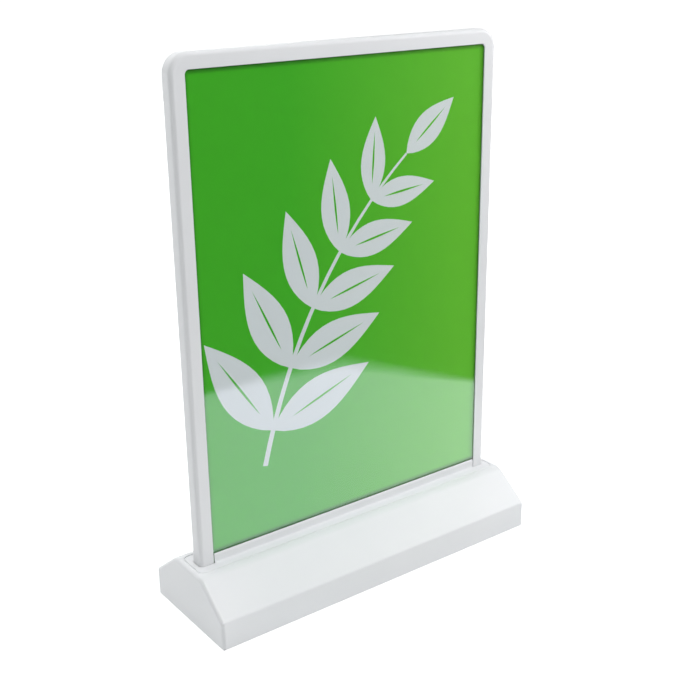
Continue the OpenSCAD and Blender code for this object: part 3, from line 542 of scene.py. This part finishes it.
# Ballast: two bars of cold-drawn steel that keep the tall frame from tipping. Drawing leaves long
# fine lines, and a film of oil keeps them grey.
def drawn_metal(name, pale, dark, rough, line):
    """Metal drawn or pressed through a die along X: streaks many times longer than they are wide"""
    material, tree, surface, place = start_material(name, 1.5, metallic=1)
    along = add_node(tree, "Mapping", {"Vector": place, "Scale": (0.02, 1, 1)})
    scale = 1 / (line * MM)
    streaks = add_node(tree, "TexNoise", {"Vector": along.outputs[0], "Scale": scale, "Detail": 5})
    spread(tree, streaks.outputs["Fac"], dark, pale, surface.inputs["Base Color"])
    vary(tree, streaks.outputs["Fac"], rough - 0.1, rough + 0.1, surface.inputs["Roughness"])
    raise_by(tree, streaks.outputs["Fac"], 0.01, surface)
    return material


drawn_steel = drawn_metal("oiled_drawn_steel", "#8f9296", "#6d7074", 0.42, 0.5)
dress("front_ballast", drawn_steel)
dress("rear_ballast", drawn_steel)


# Collar: a second moulding of the base's ABS that snaps into its top. It has the two lower rails of
# the picture, each with a sloping lip, a slot for the sheets and, at each end, a pocket that takes a
# stile.
FLANGE = (223.6, 22, 4)
SEAT_PLAY = 0.1
GROOVE_DEEP = 0.6
RAIL_X = 99.45
RAIL_TOP = 40.7
RAIL_LIP = 0.8
RAIL_Y = (4.4, 5)
SKIRT = (110.05, 6.45)
PLUG_Z = 19.9
LEDGE_Z = 18.5
SLOT = (211.3, 8.8)
POCKET_X = 108.85
POCKET_Y = 5.25
POCKET_R = 2.75
BARB_ROOT = 0.6
BARB_OUT = 0.9
BARB_H = 1.6
BARB_HALF = 5


def build_collar():
    """The collar: a flange, the filled seat, the skirt, and on each side the rail and its three barbs"""
    top = shell_high.z
    collar = place_mesh(prism(rounded_box(*FLANGE, steps=10), SEAT_Z, top, soft=0.5), "collar_moulding")
    width, depth, bend = SEAT
    fill = rounded_box(width - SEAT_PLAY, depth - SEAT_PLAY, bend - SEAT_PLAY / 2, steps=10)
    carve(collar, prism(fill, SEAT_Z, top - GROOVE_DEEP), "UNION")
    skirt = rounded_box(2 * SKIRT[0], 2 * SKIRT[1], 0.5)
    carve(collar, prism(skirt, SEAT_Z - 5, SEAT_Z + 1), "UNION")
    for side in (-1, 1):
        x = side * (SKIRT[0] + RAIL_X) / 2
        block = rounded_box(SKIRT[0] - RAIL_X, 2 * SKIRT[1], 0.5, (x, 0))
        carve(collar, prism(block, LEDGE_Z, SEAT_Z + 1), "UNION")
        (y0, y1), foot = RAIL_Y, top - 1
        corners = [(y0, foot), (y0, RAIL_TOP), (y0 + 0.15, RAIL_TOP), (y1, RAIL_TOP - RAIL_LIP),
                   (y1, top), (y1 + 1, top), (y1 + 1, foot)]
        rail = rounded([(side * y, z) for y, z in corners], [0, 0.05, 0.05, 0.3, 1, 0, 0])
        carve(collar, prism(rail, -RAIL_X, RAIL_X, "x"), "UNION")
        wall, high = SKIRT[1], DECK_UNDER - 0.2
        low, root = high - BARB_H, wall - BARB_ROOT
        barb = [(root, high), (wall + BARB_OUT, high), (wall, low), (root, low)]
        for x in (-2 * RAIL_X / 3, 0, 2 * RAIL_X / 3):
            outline = [(side * y, z) for y, z in barb]
            carve(collar, prism(outline, x - BARB_HALF, x + BARB_HALF, "x"), "UNION")
    carve(collar, prism(rounded_box(*SLOT, 0.2), LEDGE_Z - 2, RAIL_TOP + 2))
    for side in (-1, 1):
        corners = [(RAIL_X, -POCKET_Y), (POCKET_X, -POCKET_Y), (POCKET_X, POCKET_Y), (RAIL_X, POCKET_Y)]
        pocket = rounded([(side * x, y) for x, y in corners], [0, POCKET_R, POCKET_R, 0])
        carve(collar, prism(pocket, PLUG_Z, RAIL_TOP + 2))
    return collar


finish_piece(build_collar(), "base", [white_abs], ["collar"])


# Frame hoop: both stiles and the top bar in one ABS moulding, with a groove for the sheets all round.
# Its outer edges are well rounded, and a thin lip frames the picture. It lifts off with the covers.
OPEN_X = 100
OPEN_TOP = 309.9
OPEN_R = 2.5
BEZEL = 8.6
HALF_T = 5
EDGE_R = 2.5
LIP_R = 0.3
GROOVE_Y = 4.3
GROOVE_U = 5.45
GROOVE_R = 4
FOOT_Z = 20


def hoop_line(u, y, steps=14):
    """The line round the hoop at u outside the picture and at depth y, from foot to foot"""
    in_groove = abs(y) <= GROOVE_Y and u <= GROOVE_U
    bend = OPEN_R + (u * (GROOVE_R - OPEN_R) / GROOVE_U if in_groove else u)
    x, top = OPEN_X + u, OPEN_TOP + u
    corners = [(-x, FOOT_Z), (-x, top), (x, top), (x, FOOT_Z)]
    return [(a, y, b) for a, b in rounded(corners, [0, bend, bend, 0], steps)]


def build_hoop():
    corners = [(0, -HALF_T), (BEZEL, -HALF_T), (BEZEL, HALF_T), (0, HALF_T),
               (0, GROOVE_Y), (GROOVE_U, GROOVE_Y), (GROOVE_U, -GROOVE_Y), (0, -GROOVE_Y)]
    section = rounded(corners, [LIP_R, EDGE_R, EDGE_R, LIP_R, 0.2, 0.2, 0.2, 0.2], 8)
    lines = [hoop_line(u, y) for u, y in section]
    return place_mesh(capped(zip(*lines)), "hoop_moulding")


hoop_abs = moulded_abs("white_frame_abs", "#e4e5e6", "#e0e1e2", 0.38, 0.008)
finish_piece(build_hoop(), "lift_frame", [hoop_abs], ["frame_hoop"])


# Clear covers: a sheet of extruded acrylic on each side, in the hoop's groove. They are polished,
# so they mirror the pale table over the lower part of the picture.
COVER = (210.6, 28, 315.2, 3.85)
COVER_Y = 3.3
COVER_T = 1
MIRRORING_FACES = 2.25


def sheet(size, low_y, thick, soft):
    """An upright sheet, given as width, lower edge, upper edge and corner radius"""
    width, low, high, radius = size
    outline = rounded_box(width, high - low, radius, (0, (low + high) / 2), 8)
    return prism(outline, low_y, low_y + thick, "y", soft)


def clear_acrylic():
    """Polished acrylic: clear, with the mirror of a pane of glass. The sheet mirrors on both faces, and
    the film behind it once more, so its outer face does it for all three. The mirror is faintly blue,
    as a hard-coat is. Wiping leaves faint smears."""
    material = bpy.data.materials.new("clear_acrylic")
    material.use_nodes = True
    tree = material.node_tree
    tree.nodes.clear()
    place = add_node(tree, "TexCoord").outputs["Object"]
    wiped = add_node(tree, "Mapping", {"Vector": place, "Rotation": (0, 0.5, 0), "Scale": (1, 1, 4)})
    smear = add_node(tree, "TexNoise", {"Vector": wiped.outputs[0], "Scale": 1 / (90 * MM), "Detail": 4})
    mirror = add_node(tree, "BsdfGlossy", {"Color": linear("#eff0ff")})
    vary(tree, smear.outputs["Fac"], 0.02, 0.09, mirror.inputs["Roughness"])
    clear = add_node(tree, "BsdfTransparent", {"Color": linear("#fcfefd")})
    fresnel = add_node(tree, "Fresnel", {"IOR": 1.49})
    back = add_node(tree, "NewGeometry").outputs["Backfacing"]
    outside = add_node(tree, "MapRange", {"Value": back, "To Min": MIRRORING_FACES, "To Max": 0})
    faces = outside.outputs["Result"]
    once = add_node(tree, "Math", {0: fresnel.outputs[0], 1: faces}, operation="MULTIPLY")
    both = add_node(tree, "MixShader", {0: once.outputs[0], 1: clear.outputs[0], 2: mirror.outputs[0]})
    add_node(tree, "OutputMaterial", {"Surface": both.outputs[0]})
    return material


clear = clear_acrylic()
for name, low_y, node in (("cover_front", -COVER_Y - COVER_T, "front_clear_cover"),
                          ("cover_back", COVER_Y, "back_clear_cover")):
    piece = place_mesh(sheet(COVER, low_y, COVER_T, 0.08), name)
    finish_piece(piece, "lift_frame", [clear], [node])


# Printed films: a translucent polyester film on each side, offset printed. Its picture is a plain
# sprig of leaves, left white in the green ground. Each film is drawn up and out once the hoop is off.
FILM = (210, 16.2, 313.2, 2)
FILM_Y = 3
FILM_T = 0.25
STEM = (Vector((-62, 84)), Vector((-34, 190)), Vector((42, 252)))
LEAF_LONG = 74
LEAF_WIDE = 27
# The painted shadow of the hoop's lip along the picture's rim: its middle, its half sizes, its shade and
# its fade
LIP_SHADOW_MIDDLE = (1.4, 0, 175.25)
LIP_SHADOW_HALVES = (101.4, 1000, 134.95)
PAINTED_LIP_SHADOW = "#a6a6a6"
LIP_SHADOW_FADE = (0.001, 0.024)


def ink(name, left, right, rough):
    """Offset ink on film: an even coat that runs softly from one shade to another across the sheet,
    lighter to the right, which is partly the print's own tone and partly painted light. A soft dark
    line 5 mm wide along the picture's rim is painted shadow, which stands for the hoop lip's shadow on
    the film. A matt varnish leaves the ink little shine. Its dots are 0.15 mm apart, and show as a
    mottle of 1.5 mm."""
    material, tree, surface, place = start_material(name, 1.5)
    surface.inputs["Specular IOR Level"].default_value = 0.15
    mottle = add_node(tree, "TexNoise", {"Vector": place, "Scale": 1 / (1.5 * MM), "Detail": 5})
    # The run across the sheet, lighter to the right, is partly the print's tone and partly painted light
    # that falls off to the left.
    across = add_node(tree, "SeparateXYZ", {0: place}).outputs["X"]
    sway = add_node(tree, "Math", {0: mottle.outputs["Fac"], 1: 0.008, 2: across}, operation="MULTIPLY_ADD")
    tone_and_painted_light = add_node(tree, "MapRange", {"Value": sway.outputs[0], "From Min": -0.1, "From Max": 0.1})
    ground = add_node(tree, "Mix", data_type="RGBA", blend_type="MULTIPLY")
    ground.inputs["Factor"].default_value = 1
    spread(tree, tone_and_painted_light.outputs["Result"], left, right, ground.inputs["A"], 0.32, 0.95)
    # Painted shadow: a dark line along the picture's rim stands for the lip's shadow on the film. Its
    # middle sits 1.4 mm to the right, so the right edge, which the lamps already shade, gets none.
    shift = [at * MM for at in LIP_SHADOW_MIDDLE]
    middle = add_node(tree, "VectorMath", {0: place, 1: shift}, operation="SUBTRACT")
    share = rim_share(tree, middle.outputs[0], LIP_SHADOW_HALVES)
    rim = add_node(tree, "Math", {0: share, 1: 1}, operation="SUBTRACT")
    off = add_node(tree, "Math", {0: rim.outputs[0]}, operation="ABSOLUTE")
    spread(tree, off.outputs[0], PAINTED_LIP_SHADOW, "#ffffff", ground.inputs["B"], *LIP_SHADOW_FADE)
    tree.links.new(ground.outputs["Result"], surface.inputs["Base Color"])
    vary(tree, mottle.outputs["Fac"], rough - 0.04, rough + 0.04, surface.inputs["Roughness"])
    return material


def leaf(root, heading, long, wide, steps=12):
    """Outline of a pointed leaf, widest a little below its middle, counter-clockwise"""
    along = Vector((math.cos(heading), math.sin(heading)))
    across = Vector((-math.sin(heading), math.cos(heading)))
    half = [(i / steps, wide / 2 * math.sin(math.pi * (i / steps) ** 0.85)) for i in range(steps + 1)]
    lower = [root + along * long * t - across * w for t, w in half]
    upper = [root + along * long * t + across * w for t, w in reversed(half[1:-1])]
    return lower + upper


def stem_at(t):
    """A point on the stem and the heading there"""
    a, b, c = STEM
    point = a * (1 - t) ** 2 + b * 2 * t * (1 - t) + c * t ** 2
    way = (b - a) * (1 - t) + (c - b) * t
    return point, math.atan2(way.y, way.x)


def sprig():
    """The outlines of the print: first the leaves and the stem, then the veins that are cut out of them"""
    leaves, veins = [], []
    for i in range(5):
        root, heading = stem_at(0.1 + 0.18 * i)
        for side in (-1, 1):
            long = LEAF_LONG * (1 - 0.09 * i)
            way = heading + side * math.radians(52 - 3 * i)
            leaves.append((root, way, long, LEAF_WIDE * long / LEAF_LONG))
    root, heading = stem_at(1)
    leaves.append((root, heading, LEAF_LONG * 0.62, LEAF_WIDE * 0.7))
    for root, way, long, wide in leaves:
        start = root + Vector((math.cos(way), math.sin(way))) * long * 0.2
        veins.append(leaf(start, way, long * 0.62, 1.3))
    points = [stem_at(i / 16) for i in range(17)]
    right, left = ([p + Vector((-math.sin(h), math.cos(h))) * side * (1.7 - 0.06 * i)
                    for i, (p, h) in enumerate(points)] for side in (-1, 1))
    return [leaf(*each) for each in leaves] + [right + left[::-1]], veins


def printed_film(name, side):
    """The film as one mesh. The print is cut into both faces, so that it stays crisp at any size"""
    width, low, high, radius = FILM
    outline = rounded_box(width, high - low, radius, (0, (low + high) / 2), 6)
    white, green = sprig()
    shapes = [outline] + white + green
    points, faces = [], []
    for shape in shapes:
        faces.append(list(range(len(points), len(points) + len(shape))))
        points += [Vector(p) for p in shape]
    cut = delaunay_2d_cdt(points, [], faces, 1, 1e-5)
    bm = bmesh.new()
    inner, outer = ([bm.verts.new((side * -p.x, side * y, p.y)) for p in cut[0]]
                    for y in (FILM_Y, FILM_Y + FILM_T))
    last_white = len(white)
    for corners, origin in zip(cut[2], cut[5]):
        top = max(origin)
        for layer in (inner, outer):
            face = bm.faces.new([layer[i] for i in corners])
            face.material_index = 1 if 0 < top <= last_white else 0
    bm.verts.index_update()
    rim = [[vert.index for vert in edge.verts] for edge in bm.edges if edge.is_boundary]
    for a, b in rim:
        if max(a, b) < len(inner):
            bm.faces.new((inner[a], inner[b], outer[b], outer[a]))
    return place_mesh(bm, name)


green_ink = ink("green_ink_on_film", "#48be20", "#70ce30", 0.5)
bare_film = ink("bare_polyester_film", "#ebecee", "#f0f1f1", 0.5)
for name, side, body in (("film_front", -1, "front_film"), ("film_back", 1, "back_film")):
    node = "front_picture" if side < 0 else "back_picture"
    finish_piece(printed_film(name, side), body, [green_ink, bare_film], [node])


# Diffusers: a frosted polystyrene sheet on each face of the guide, which evens out its light. They
# only show when the hoop is off and a film is drawn up.
PANEL = (209.7, 16.7, 314.75, 3.55)
DIFFUSER_Y = 1.5
DIFFUSER_T = 0.5


def frosted_polystyrene():
    """Milky polystyrene with one embossed face: matt, white, and a little uneven like fine frost"""
    material, tree, surface, place = start_material("frosted_polystyrene", 1.59)
    frost = add_node(tree, "TexNoise", {"Vector": place, "Scale": 1 / (0.8 * MM), "Detail": 4})
    spread(tree, frost.outputs["Fac"], "#eceef0", "#f5f6f7", surface.inputs["Base Color"])
    surface.inputs["Roughness"].default_value = 0.7
    raise_by(tree, frost.outputs["Fac"], 0.02, surface)
    return material


frosted = frosted_polystyrene()
for name, low_y in (("front_diffuser", -DIFFUSER_Y - DIFFUSER_T), ("back_diffuser", DIFFUSER_Y)):
    piece = place_mesh(sheet(PANEL, low_y, DIFFUSER_T, 0.04), name + "_sheet")
    finish_piece(piece, "base", [frosted], [name])


# Light guide: a sheet of cast acrylic whose lower edge takes in the chips' light. Dots on its faces
# let the light out. They stand 2 mm apart, and grow from below upwards as the light gets scarcer.
DOT_PITCH = 2
DOT_LOW_R = 0.3
DOT_HIGH_R = 0.75


def dotted_acrylic():
    """Cast acrylic: almost clear, with a greenish depth, and with white dots printed in a square grid"""
    material, tree, surface, place = start_material("dotted_cast_acrylic", 1.49)
    cell = add_node(tree, "VectorMath", {0: place, 1: [1 / (DOT_PITCH * MM)] * 3}, operation="MULTIPLY")
    inside = add_node(tree, "VectorMath", {0: cell.outputs[0]}, operation="FRACTION")
    centred = add_node(tree, "VectorMath", {0: inside.outputs[0], 1: (0.5, 0, 0.5)}, operation="SUBTRACT")
    level = add_node(tree, "VectorMath", {0: centred.outputs[0], 1: (1, 0, 1)}, operation="MULTIPLY")
    away = add_node(tree, "VectorMath", {0: level.outputs[0]}, operation="LENGTH")
    height = add_node(tree, "SeparateXYZ", {0: place}).outputs["Z"]
    growth = {"Value": height, "From Min": PANEL[1] * MM, "From Max": PANEL[2] * MM,
              "To Min": DOT_LOW_R / DOT_PITCH, "To Max": DOT_HIGH_R / DOT_PITCH}
    radius = add_node(tree, "MapRange", growth).outputs["Result"]
    dot = add_node(tree, "Math", {0: away.outputs["Value"], 1: radius}, operation="LESS_THAN")
    spread(tree, dot.outputs[0], "#dfece8", "#f6f8f8", surface.inputs["Base Color"])
    vary(tree, dot.outputs[0], 0.06, 0.6, surface.inputs["Roughness"])
    return material


dress("light_guide", dotted_acrylic())


# Edge tape: silvered polyester tape round the guide's sides and top, which sends stray light back.
def silvered_tape():
    """Silvered polyester: a bright, thin metal skin under a clear coat, with shallow creases 6 mm apart"""
    material, tree, surface, place = start_material("silvered_polyester_tape", 1.5, metallic=1)
    crease = add_node(tree, "TexNoise", {"Vector": place, "Scale": 1 / (6 * MM), "Detail": 6})
    spread(tree, crease.outputs["Fac"], "#d3d6d9", "#eef0f1", surface.inputs["Base Color"])
    vary(tree, crease.outputs["Fac"], 0.15, 0.3, surface.inputs["Roughness"])
    raise_by(tree, crease.outputs["Fac"], 0.05, surface)
    surface.inputs["Coat Weight"].default_value = 0.5
    return material


dress("edge_tape", silvered_tape())


# Light channel: an extruded aluminium trough that carries the board and takes its heat away. It is
# left as it came from the die.
dress("led_channel", drawn_metal("mill_finish_aluminium", "#dddfe1", "#c3c6c9", 0.36, 0.4))


# Adhesive tape between the channel and the board: grey acrylic foam that conducts the heat.
def tape_foam():
    """Grey acrylic foam tape: matt, soft and closed, with pores about 0.3 mm wide"""
    material, tree, surface, place = start_material("grey_acrylic_foam", 1.48)
    pores = add_node(tree, "TexVoronoi", {"Vector": place, "Scale": 1 / (0.3 * MM)})
    spread(tree, pores.outputs["Distance"], "#a3a5a7", "#8b8d90", surface.inputs["Base Color"])
    surface.inputs["Roughness"].default_value = 0.85
    raise_by(tree, pores.outputs["Distance"], 0.03, surface)
    return material


dress("board_tape", tape_foam())


# Light board: a strip of glass-fibre board under white solder mask, with 33 chips and 10 resistors.
# Under the mask the copper's tracks stand up as faint ridges.
CHIP_PITCH = 5.4
CHIP_WINDOW_R = 1.15


def solder_mask():
    """White solder mask: an even, slightly glossy paint over tracks 0.6 mm wide, 1.2 mm apart"""
    material, tree, surface, place = start_material("white_solder_mask", 1.52)
    tracks = add_node(tree, "TexWave", {"Vector": place, "Scale": 0.314 / (1.2 * MM), "Distortion": 0.4},
                      bands_direction="Y")
    spread(tree, tracks.outputs["Fac"], "#e6e7e0", "#eeeee9", surface.inputs["Base Color"])
    surface.inputs["Roughness"].default_value = 0.35
    raise_by(tree, tracks.outputs["Fac"], 0.03, surface)
    return material


def chip_case():
    """White reflector case of a light chip, with a round window of yellow phosphor in its top. The
    chips' centres are whole steps of the pitch from the middle of the board."""
    material, tree, surface, place = start_material("chip_case_and_phosphor", 1.5)
    parts = add_node(tree, "SeparateXYZ", {0: place})
    half = CHIP_PITCH / 2 * MM
    near = add_node(tree, "Math", {0: parts.outputs["X"], 1: half, 2: -half}, operation="WRAP")
    around = add_node(tree, "CombineXYZ", {0: near.outputs[0], 1: parts.outputs["Y"]})
    away = add_node(tree, "VectorMath", {0: around.outputs[0]}, operation="LENGTH")
    window = {0: away.outputs["Value"], 1: CHIP_WINDOW_R * MM}
    case = add_node(tree, "Math", window, operation="GREATER_THAN")
    grit = add_node(tree, "TexNoise", {"Vector": place, "Scale": 1 / (0.1 * MM), "Detail": 3})
    grains = {0: grit.outputs["Fac"], 1: 0.12, 2: case.outputs[0]}
    mixed = add_node(tree, "Math", grains, operation="MULTIPLY_ADD")
    spread(tree, mixed.outputs[0], "#e0bc3a", "#f1f1ee", surface.inputs["Base Color"], 0.1, 0.9)
    vary(tree, case.outputs[0], 0.25, 0.5, surface.inputs["Roughness"])
    return material


def resistor_case():
    """Chip resistor: black glaze over ceramic, with a tinned cap 0.35 mm long at each end"""
    material, tree, surface, place = start_material("glazed_resistor", 1.5)
    along = add_node(tree, "SeparateXYZ", {0: place}).outputs["Y"]
    away = add_node(tree, "Math", {0: along}, operation="ABSOLUTE")
    cap = add_node(tree, "Math", {0: away.outputs[0], 1: 0.65 * MM}, operation="GREATER_THAN")
    spread(tree, cap.outputs[0], "#17181a", "#b9bcbe", surface.inputs["Base Color"])
    tree.links.new(cap.outputs[0], surface.inputs["Metallic"])
    vary(tree, cap.outputs[0], 0.3, 0.4, surface.inputs["Roughness"])
    return material


dress("led_board", solder_mask())
dress("led_chips", chip_case())
dress("led_resistors", resistor_case())


# Power inlet: a round socket for a 5.5 mm plug, in the recess of the back wall. Its body is nylon
# with a thread, a nickel-plated nut pulls it tight from inside, and a plated pin stands in its bore.
JACK_R = 3.9
JACK_FLANGE_R = 5.2
JACK_FACE = 35.967
JACK_BACK = 24.367
BORE_R = 2.8
BORE_END = 26.467
PIN_TIP = 35.167
PIN_R = 1.05
ROOT_R = 1.4
THREAD_PITCH = 0.75
LUG_L = 4.5
NUT_WIDE = 10
NUT_T = 2.5


def black_nylon():
    """Glass-filled nylon: black, with a dry, slightly mottled sheen where the fibres come up"""
    material, tree, surface, place = start_material("black_glass_filled_nylon", 1.53)
    fibres = add_node(tree, "TexNoise", {"Vector": place, "Scale": 1 / (0.35 * MM), "Detail": 5})
    spread(tree, fibres.outputs["Fac"], "#141416", "#1f2023", surface.inputs["Base Color"])
    vary(tree, fibres.outputs["Fac"], 0.4, 0.6, surface.inputs["Roughness"])
    raise_by(tree, fibres.outputs["Fac"], 0.015, surface)
    return material


def along_back(bm, x):
    """A turned solid laid down so that its axis runs towards the back, at x and at the ports' height"""
    return moved(moved(bm, (0, 0, 0), -90, "X"), (x, 0, PORT_Z))


def jack_body():
    crests = int((PORT_FLOOR - JACK_BACK) / THREAD_PITCH)
    thread = []
    for i in range(crests):
        y = JACK_BACK + i * THREAD_PITCH
        thread += [(JACK_R - 0.35, y), (JACK_R, y + THREAD_PITCH / 2)]
    mouth = [(JACK_R, PORT_FLOOR), (JACK_FLANGE_R, PORT_FLOOR), (JACK_FLANGE_R, JACK_FACE - 0.5),
             (JACK_FLANGE_R - 0.15, JACK_FACE - 0.15), (JACK_FLANGE_R - 0.5, JACK_FACE),
             (BORE_R + 0.4, JACK_FACE), (BORE_R + 0.1, JACK_FACE - 0.12), (BORE_R, JACK_FACE - 0.45)]
    profile = [(ROOT_R, JACK_BACK)] + thread + mouth + [(BORE_R, BORE_END), (ROOT_R, BORE_END)]
    return place_mesh(along_back(lathe(profile, 48), JACK_X), "inlet_body")


def jack_pin():
    turns = [math.radians(15 * i) for i in range(6)]
    tip = [(PIN_R * math.cos(a), PIN_TIP - PIN_R * 0.6 * (1 - math.sin(a))) for a in turns]
    shank = [(0, JACK_BACK), (ROOT_R, JACK_BACK), (ROOT_R, BORE_END), (PIN_R, BORE_END)]
    pin = shank + tip + [(0, PIN_TIP)]
    blade = rounded_box(0.6, 2, 0.1, (JACK_X, PORT_Z))
    lug = prism(blade, JACK_BACK - LUG_L, JACK_BACK + 0.1, "y")
    return place_mesh(joined(along_back(lathe(pin, 24), JACK_X), lug), "inlet_pin")


def jack_nut():
    corner = NUT_WIDE / 2 / math.cos(math.radians(30))
    turns = [math.radians(60 * i + 30) for i in range(6)]
    outline = [(JACK_X + corner * math.cos(a), PORT_Z + corner * math.sin(a)) for a in turns]
    seat = PORT_FLOOR - SHELL_WALL
    nut = place_mesh(prism(outline, seat - NUT_T, seat, "y", 0.3), "inlet_nut")
    bore = [(0, 20), (JACK_R + 0.05, 20), (JACK_R + 0.05, 40), (0, 40)]
    carve(nut, along_back(lathe(bore, 48), JACK_X))
    return nut


nylon = black_nylon()
nickel = plated("nickel_on_brass", "#d9d6cd", "#c3c0b6", 0.24)
finish_piece(jack_body(), "base", [nylon], ["dc_jack_body"])
finish_piece(jack_pin(), "base", [nickel], ["dc_jack_pin"])
finish_piece(jack_nut(), "base", [nickel], ["dc_jack_nut"])
tinned = plated("tin_on_brass", "#d8cfb4", "#c2b797", 0.34)
dress("dc_jack_contact", tinned)
dress("switch_blades", tinned)


# Rocker switch: a small power switch beside the inlet. Its housing and rocker are nylon. The rocker
# tips about a pin, and its face carries the usual two marks, a bar for on and a ring for off.
BEZEL_SIZE = (15, 10.5, 1)
BEZEL_FACE = 35.867
HOUSING = (12.5, 8.88)
HOUSING_BACK = 24.367
CAVITY = (12, 6.9)
CAVITY_FLOOR = 28.5
ROCKER_Y = 33.267
ROCKER_R = 5.8
ROCKER_H = 6.5
ROCKER_REST = -9
VALLEY = 2.3
MARK_T = 0.04


def switch_housing():
    bezel = prism(rounded_box(*BEZEL_SIZE, (SWITCH_X, PORT_Z)), PORT_FLOOR, BEZEL_FACE, "y", 0.3)
    housing = place_mesh(bezel, "switch_body")
    well = rounded_box(*HOUSING, 0.3, (SWITCH_X, PORT_Z))
    carve(housing, prism(well, HOUSING_BACK, PORT_FLOOR + 0.5, "y"), "UNION")
    cavity = rounded_box(*CAVITY, 0.2, (SWITCH_X, PORT_Z))
    carve(housing, prism(cavity, CAVITY_FLOOR, BEZEL_FACE + 1, "y"))
    return housing


def rocker_corners():
    """The rocker's section before it is tipped: two slanted halves of the face meet in a valley"""
    rise = VALLEY + ROCKER_R * math.tan(math.radians(-ROCKER_REST))
    rim = ROCKER_R - 0.7
    return [(-ROCKER_R, -0.5), (-2.2, -4), (2.2, -4), (ROCKER_R, -0.5),
            (rim, rise), (0, VALLEY), (-rim, rise)]


def switch_rocker():
    outline = rounded(rocker_corners(), [0.3, 0.5, 0.5, 0.3, 0.8, 2, 0.8], 5)
    body = prism(outline, -ROCKER_H / 2, ROCKER_H / 2, "z", 0.35)
    pin = lathe([(0, -4.1), (0.9, -4.1), (1, -4), (1, 4), (0.9, 4.1), (0, 4.1)], 20)
    return moved(joined(body, pin), (SWITCH_X, ROCKER_Y, PORT_Z), ROCKER_REST)


def mark_ring():
    """The ring for off, drawn flat"""
    return lathe([(0.75, 0), (0.75, MARK_T), (1.05, MARK_T), (1.05, 0)], 32)


def mark_bar():
    """The bar for on, drawn flat"""
    return prism(rounded_box(0.32, 2.1, 0.15), 0, MARK_T)


def on_face(bm, side):
    """A flat mark laid on one half of the rocker's face"""
    corners = rocker_corners()
    rim, valley = Vector(corners[4 if side > 0 else 6]), Vector(corners[5])
    middle = (rim + valley) / 2
    lean = math.degrees(math.atan2((rim - valley).y, abs((rim - valley).x))) * side
    flat = moved(moved(bm, (0, 0, 0), -90, "X"), (middle.x, middle.y, 0), lean)
    return moved(flat, (SWITCH_X, ROCKER_Y, PORT_Z), ROCKER_REST)


def white_marking_ink():
    """Pad-printed ink: a thin, matt white coat with pinholes"""
    material, tree, surface, place = start_material("white_pad_print", 1.5)
    holes = add_node(tree, "TexNoise", {"Vector": place, "Scale": 1 / (0.2 * MM), "Detail": 3})
    spread(tree, holes.outputs["Fac"], "#d5d6d8", "#eeeff0", surface.inputs["Base Color"])
    surface.inputs["Roughness"].default_value = 0.6
    return material


finish_piece(switch_housing(), "base", [nylon], ["switch_housing"])
rocker = place_mesh(switch_rocker(), "rocker_button")
gloss_abs = moulded_abs("black_gloss_abs", "#1a1b1d", "#151618", 0.28, 0.004)
finish_piece(rocker, "rocker", [gloss_abs], ["switch_rocker"])
marks = place_mesh(joined(on_face(mark_ring(), -1), on_face(mark_bar(), 1)), "rocker_marks")
finish_piece(marks, "rocker", [white_marking_ink()], [])


# Wiring: three short leads between the inlet, the switch and the board, with PVC insulation, and a
# shrunk sleeve over each soldered joint. They lie out of sight inside the base.
def insulation(name, pale, dark, rough):
    """Extruded PVC: even and softly shiny, with a waxy drift along its length"""
    material, tree, surface, place = start_material(name, 1.53)
    wax = add_node(tree, "TexNoise", {"Vector": place, "Scale": 1 / (4 * MM), "Detail": 3})
    spread(tree, wax.outputs["Fac"], dark, pale, surface.inputs["Base Color"])
    vary(tree, wax.outputs["Fac"], rough - 0.06, rough + 0.06, surface.inputs["Roughness"])
    return material


red_pvc = insulation("red_pvc", "#c1201a", "#a81812", 0.4)
dress("wire_red_feed", red_pvc)
dress("wire_red_led", red_pvc)
dress("wire_black", insulation("black_pvc", "#1d1d1f", "#141415", 0.42))
dress("joint_sleeves", insulation("black_shrunk_polyolefin", "#1c1c1e", "#111112", 0.55))
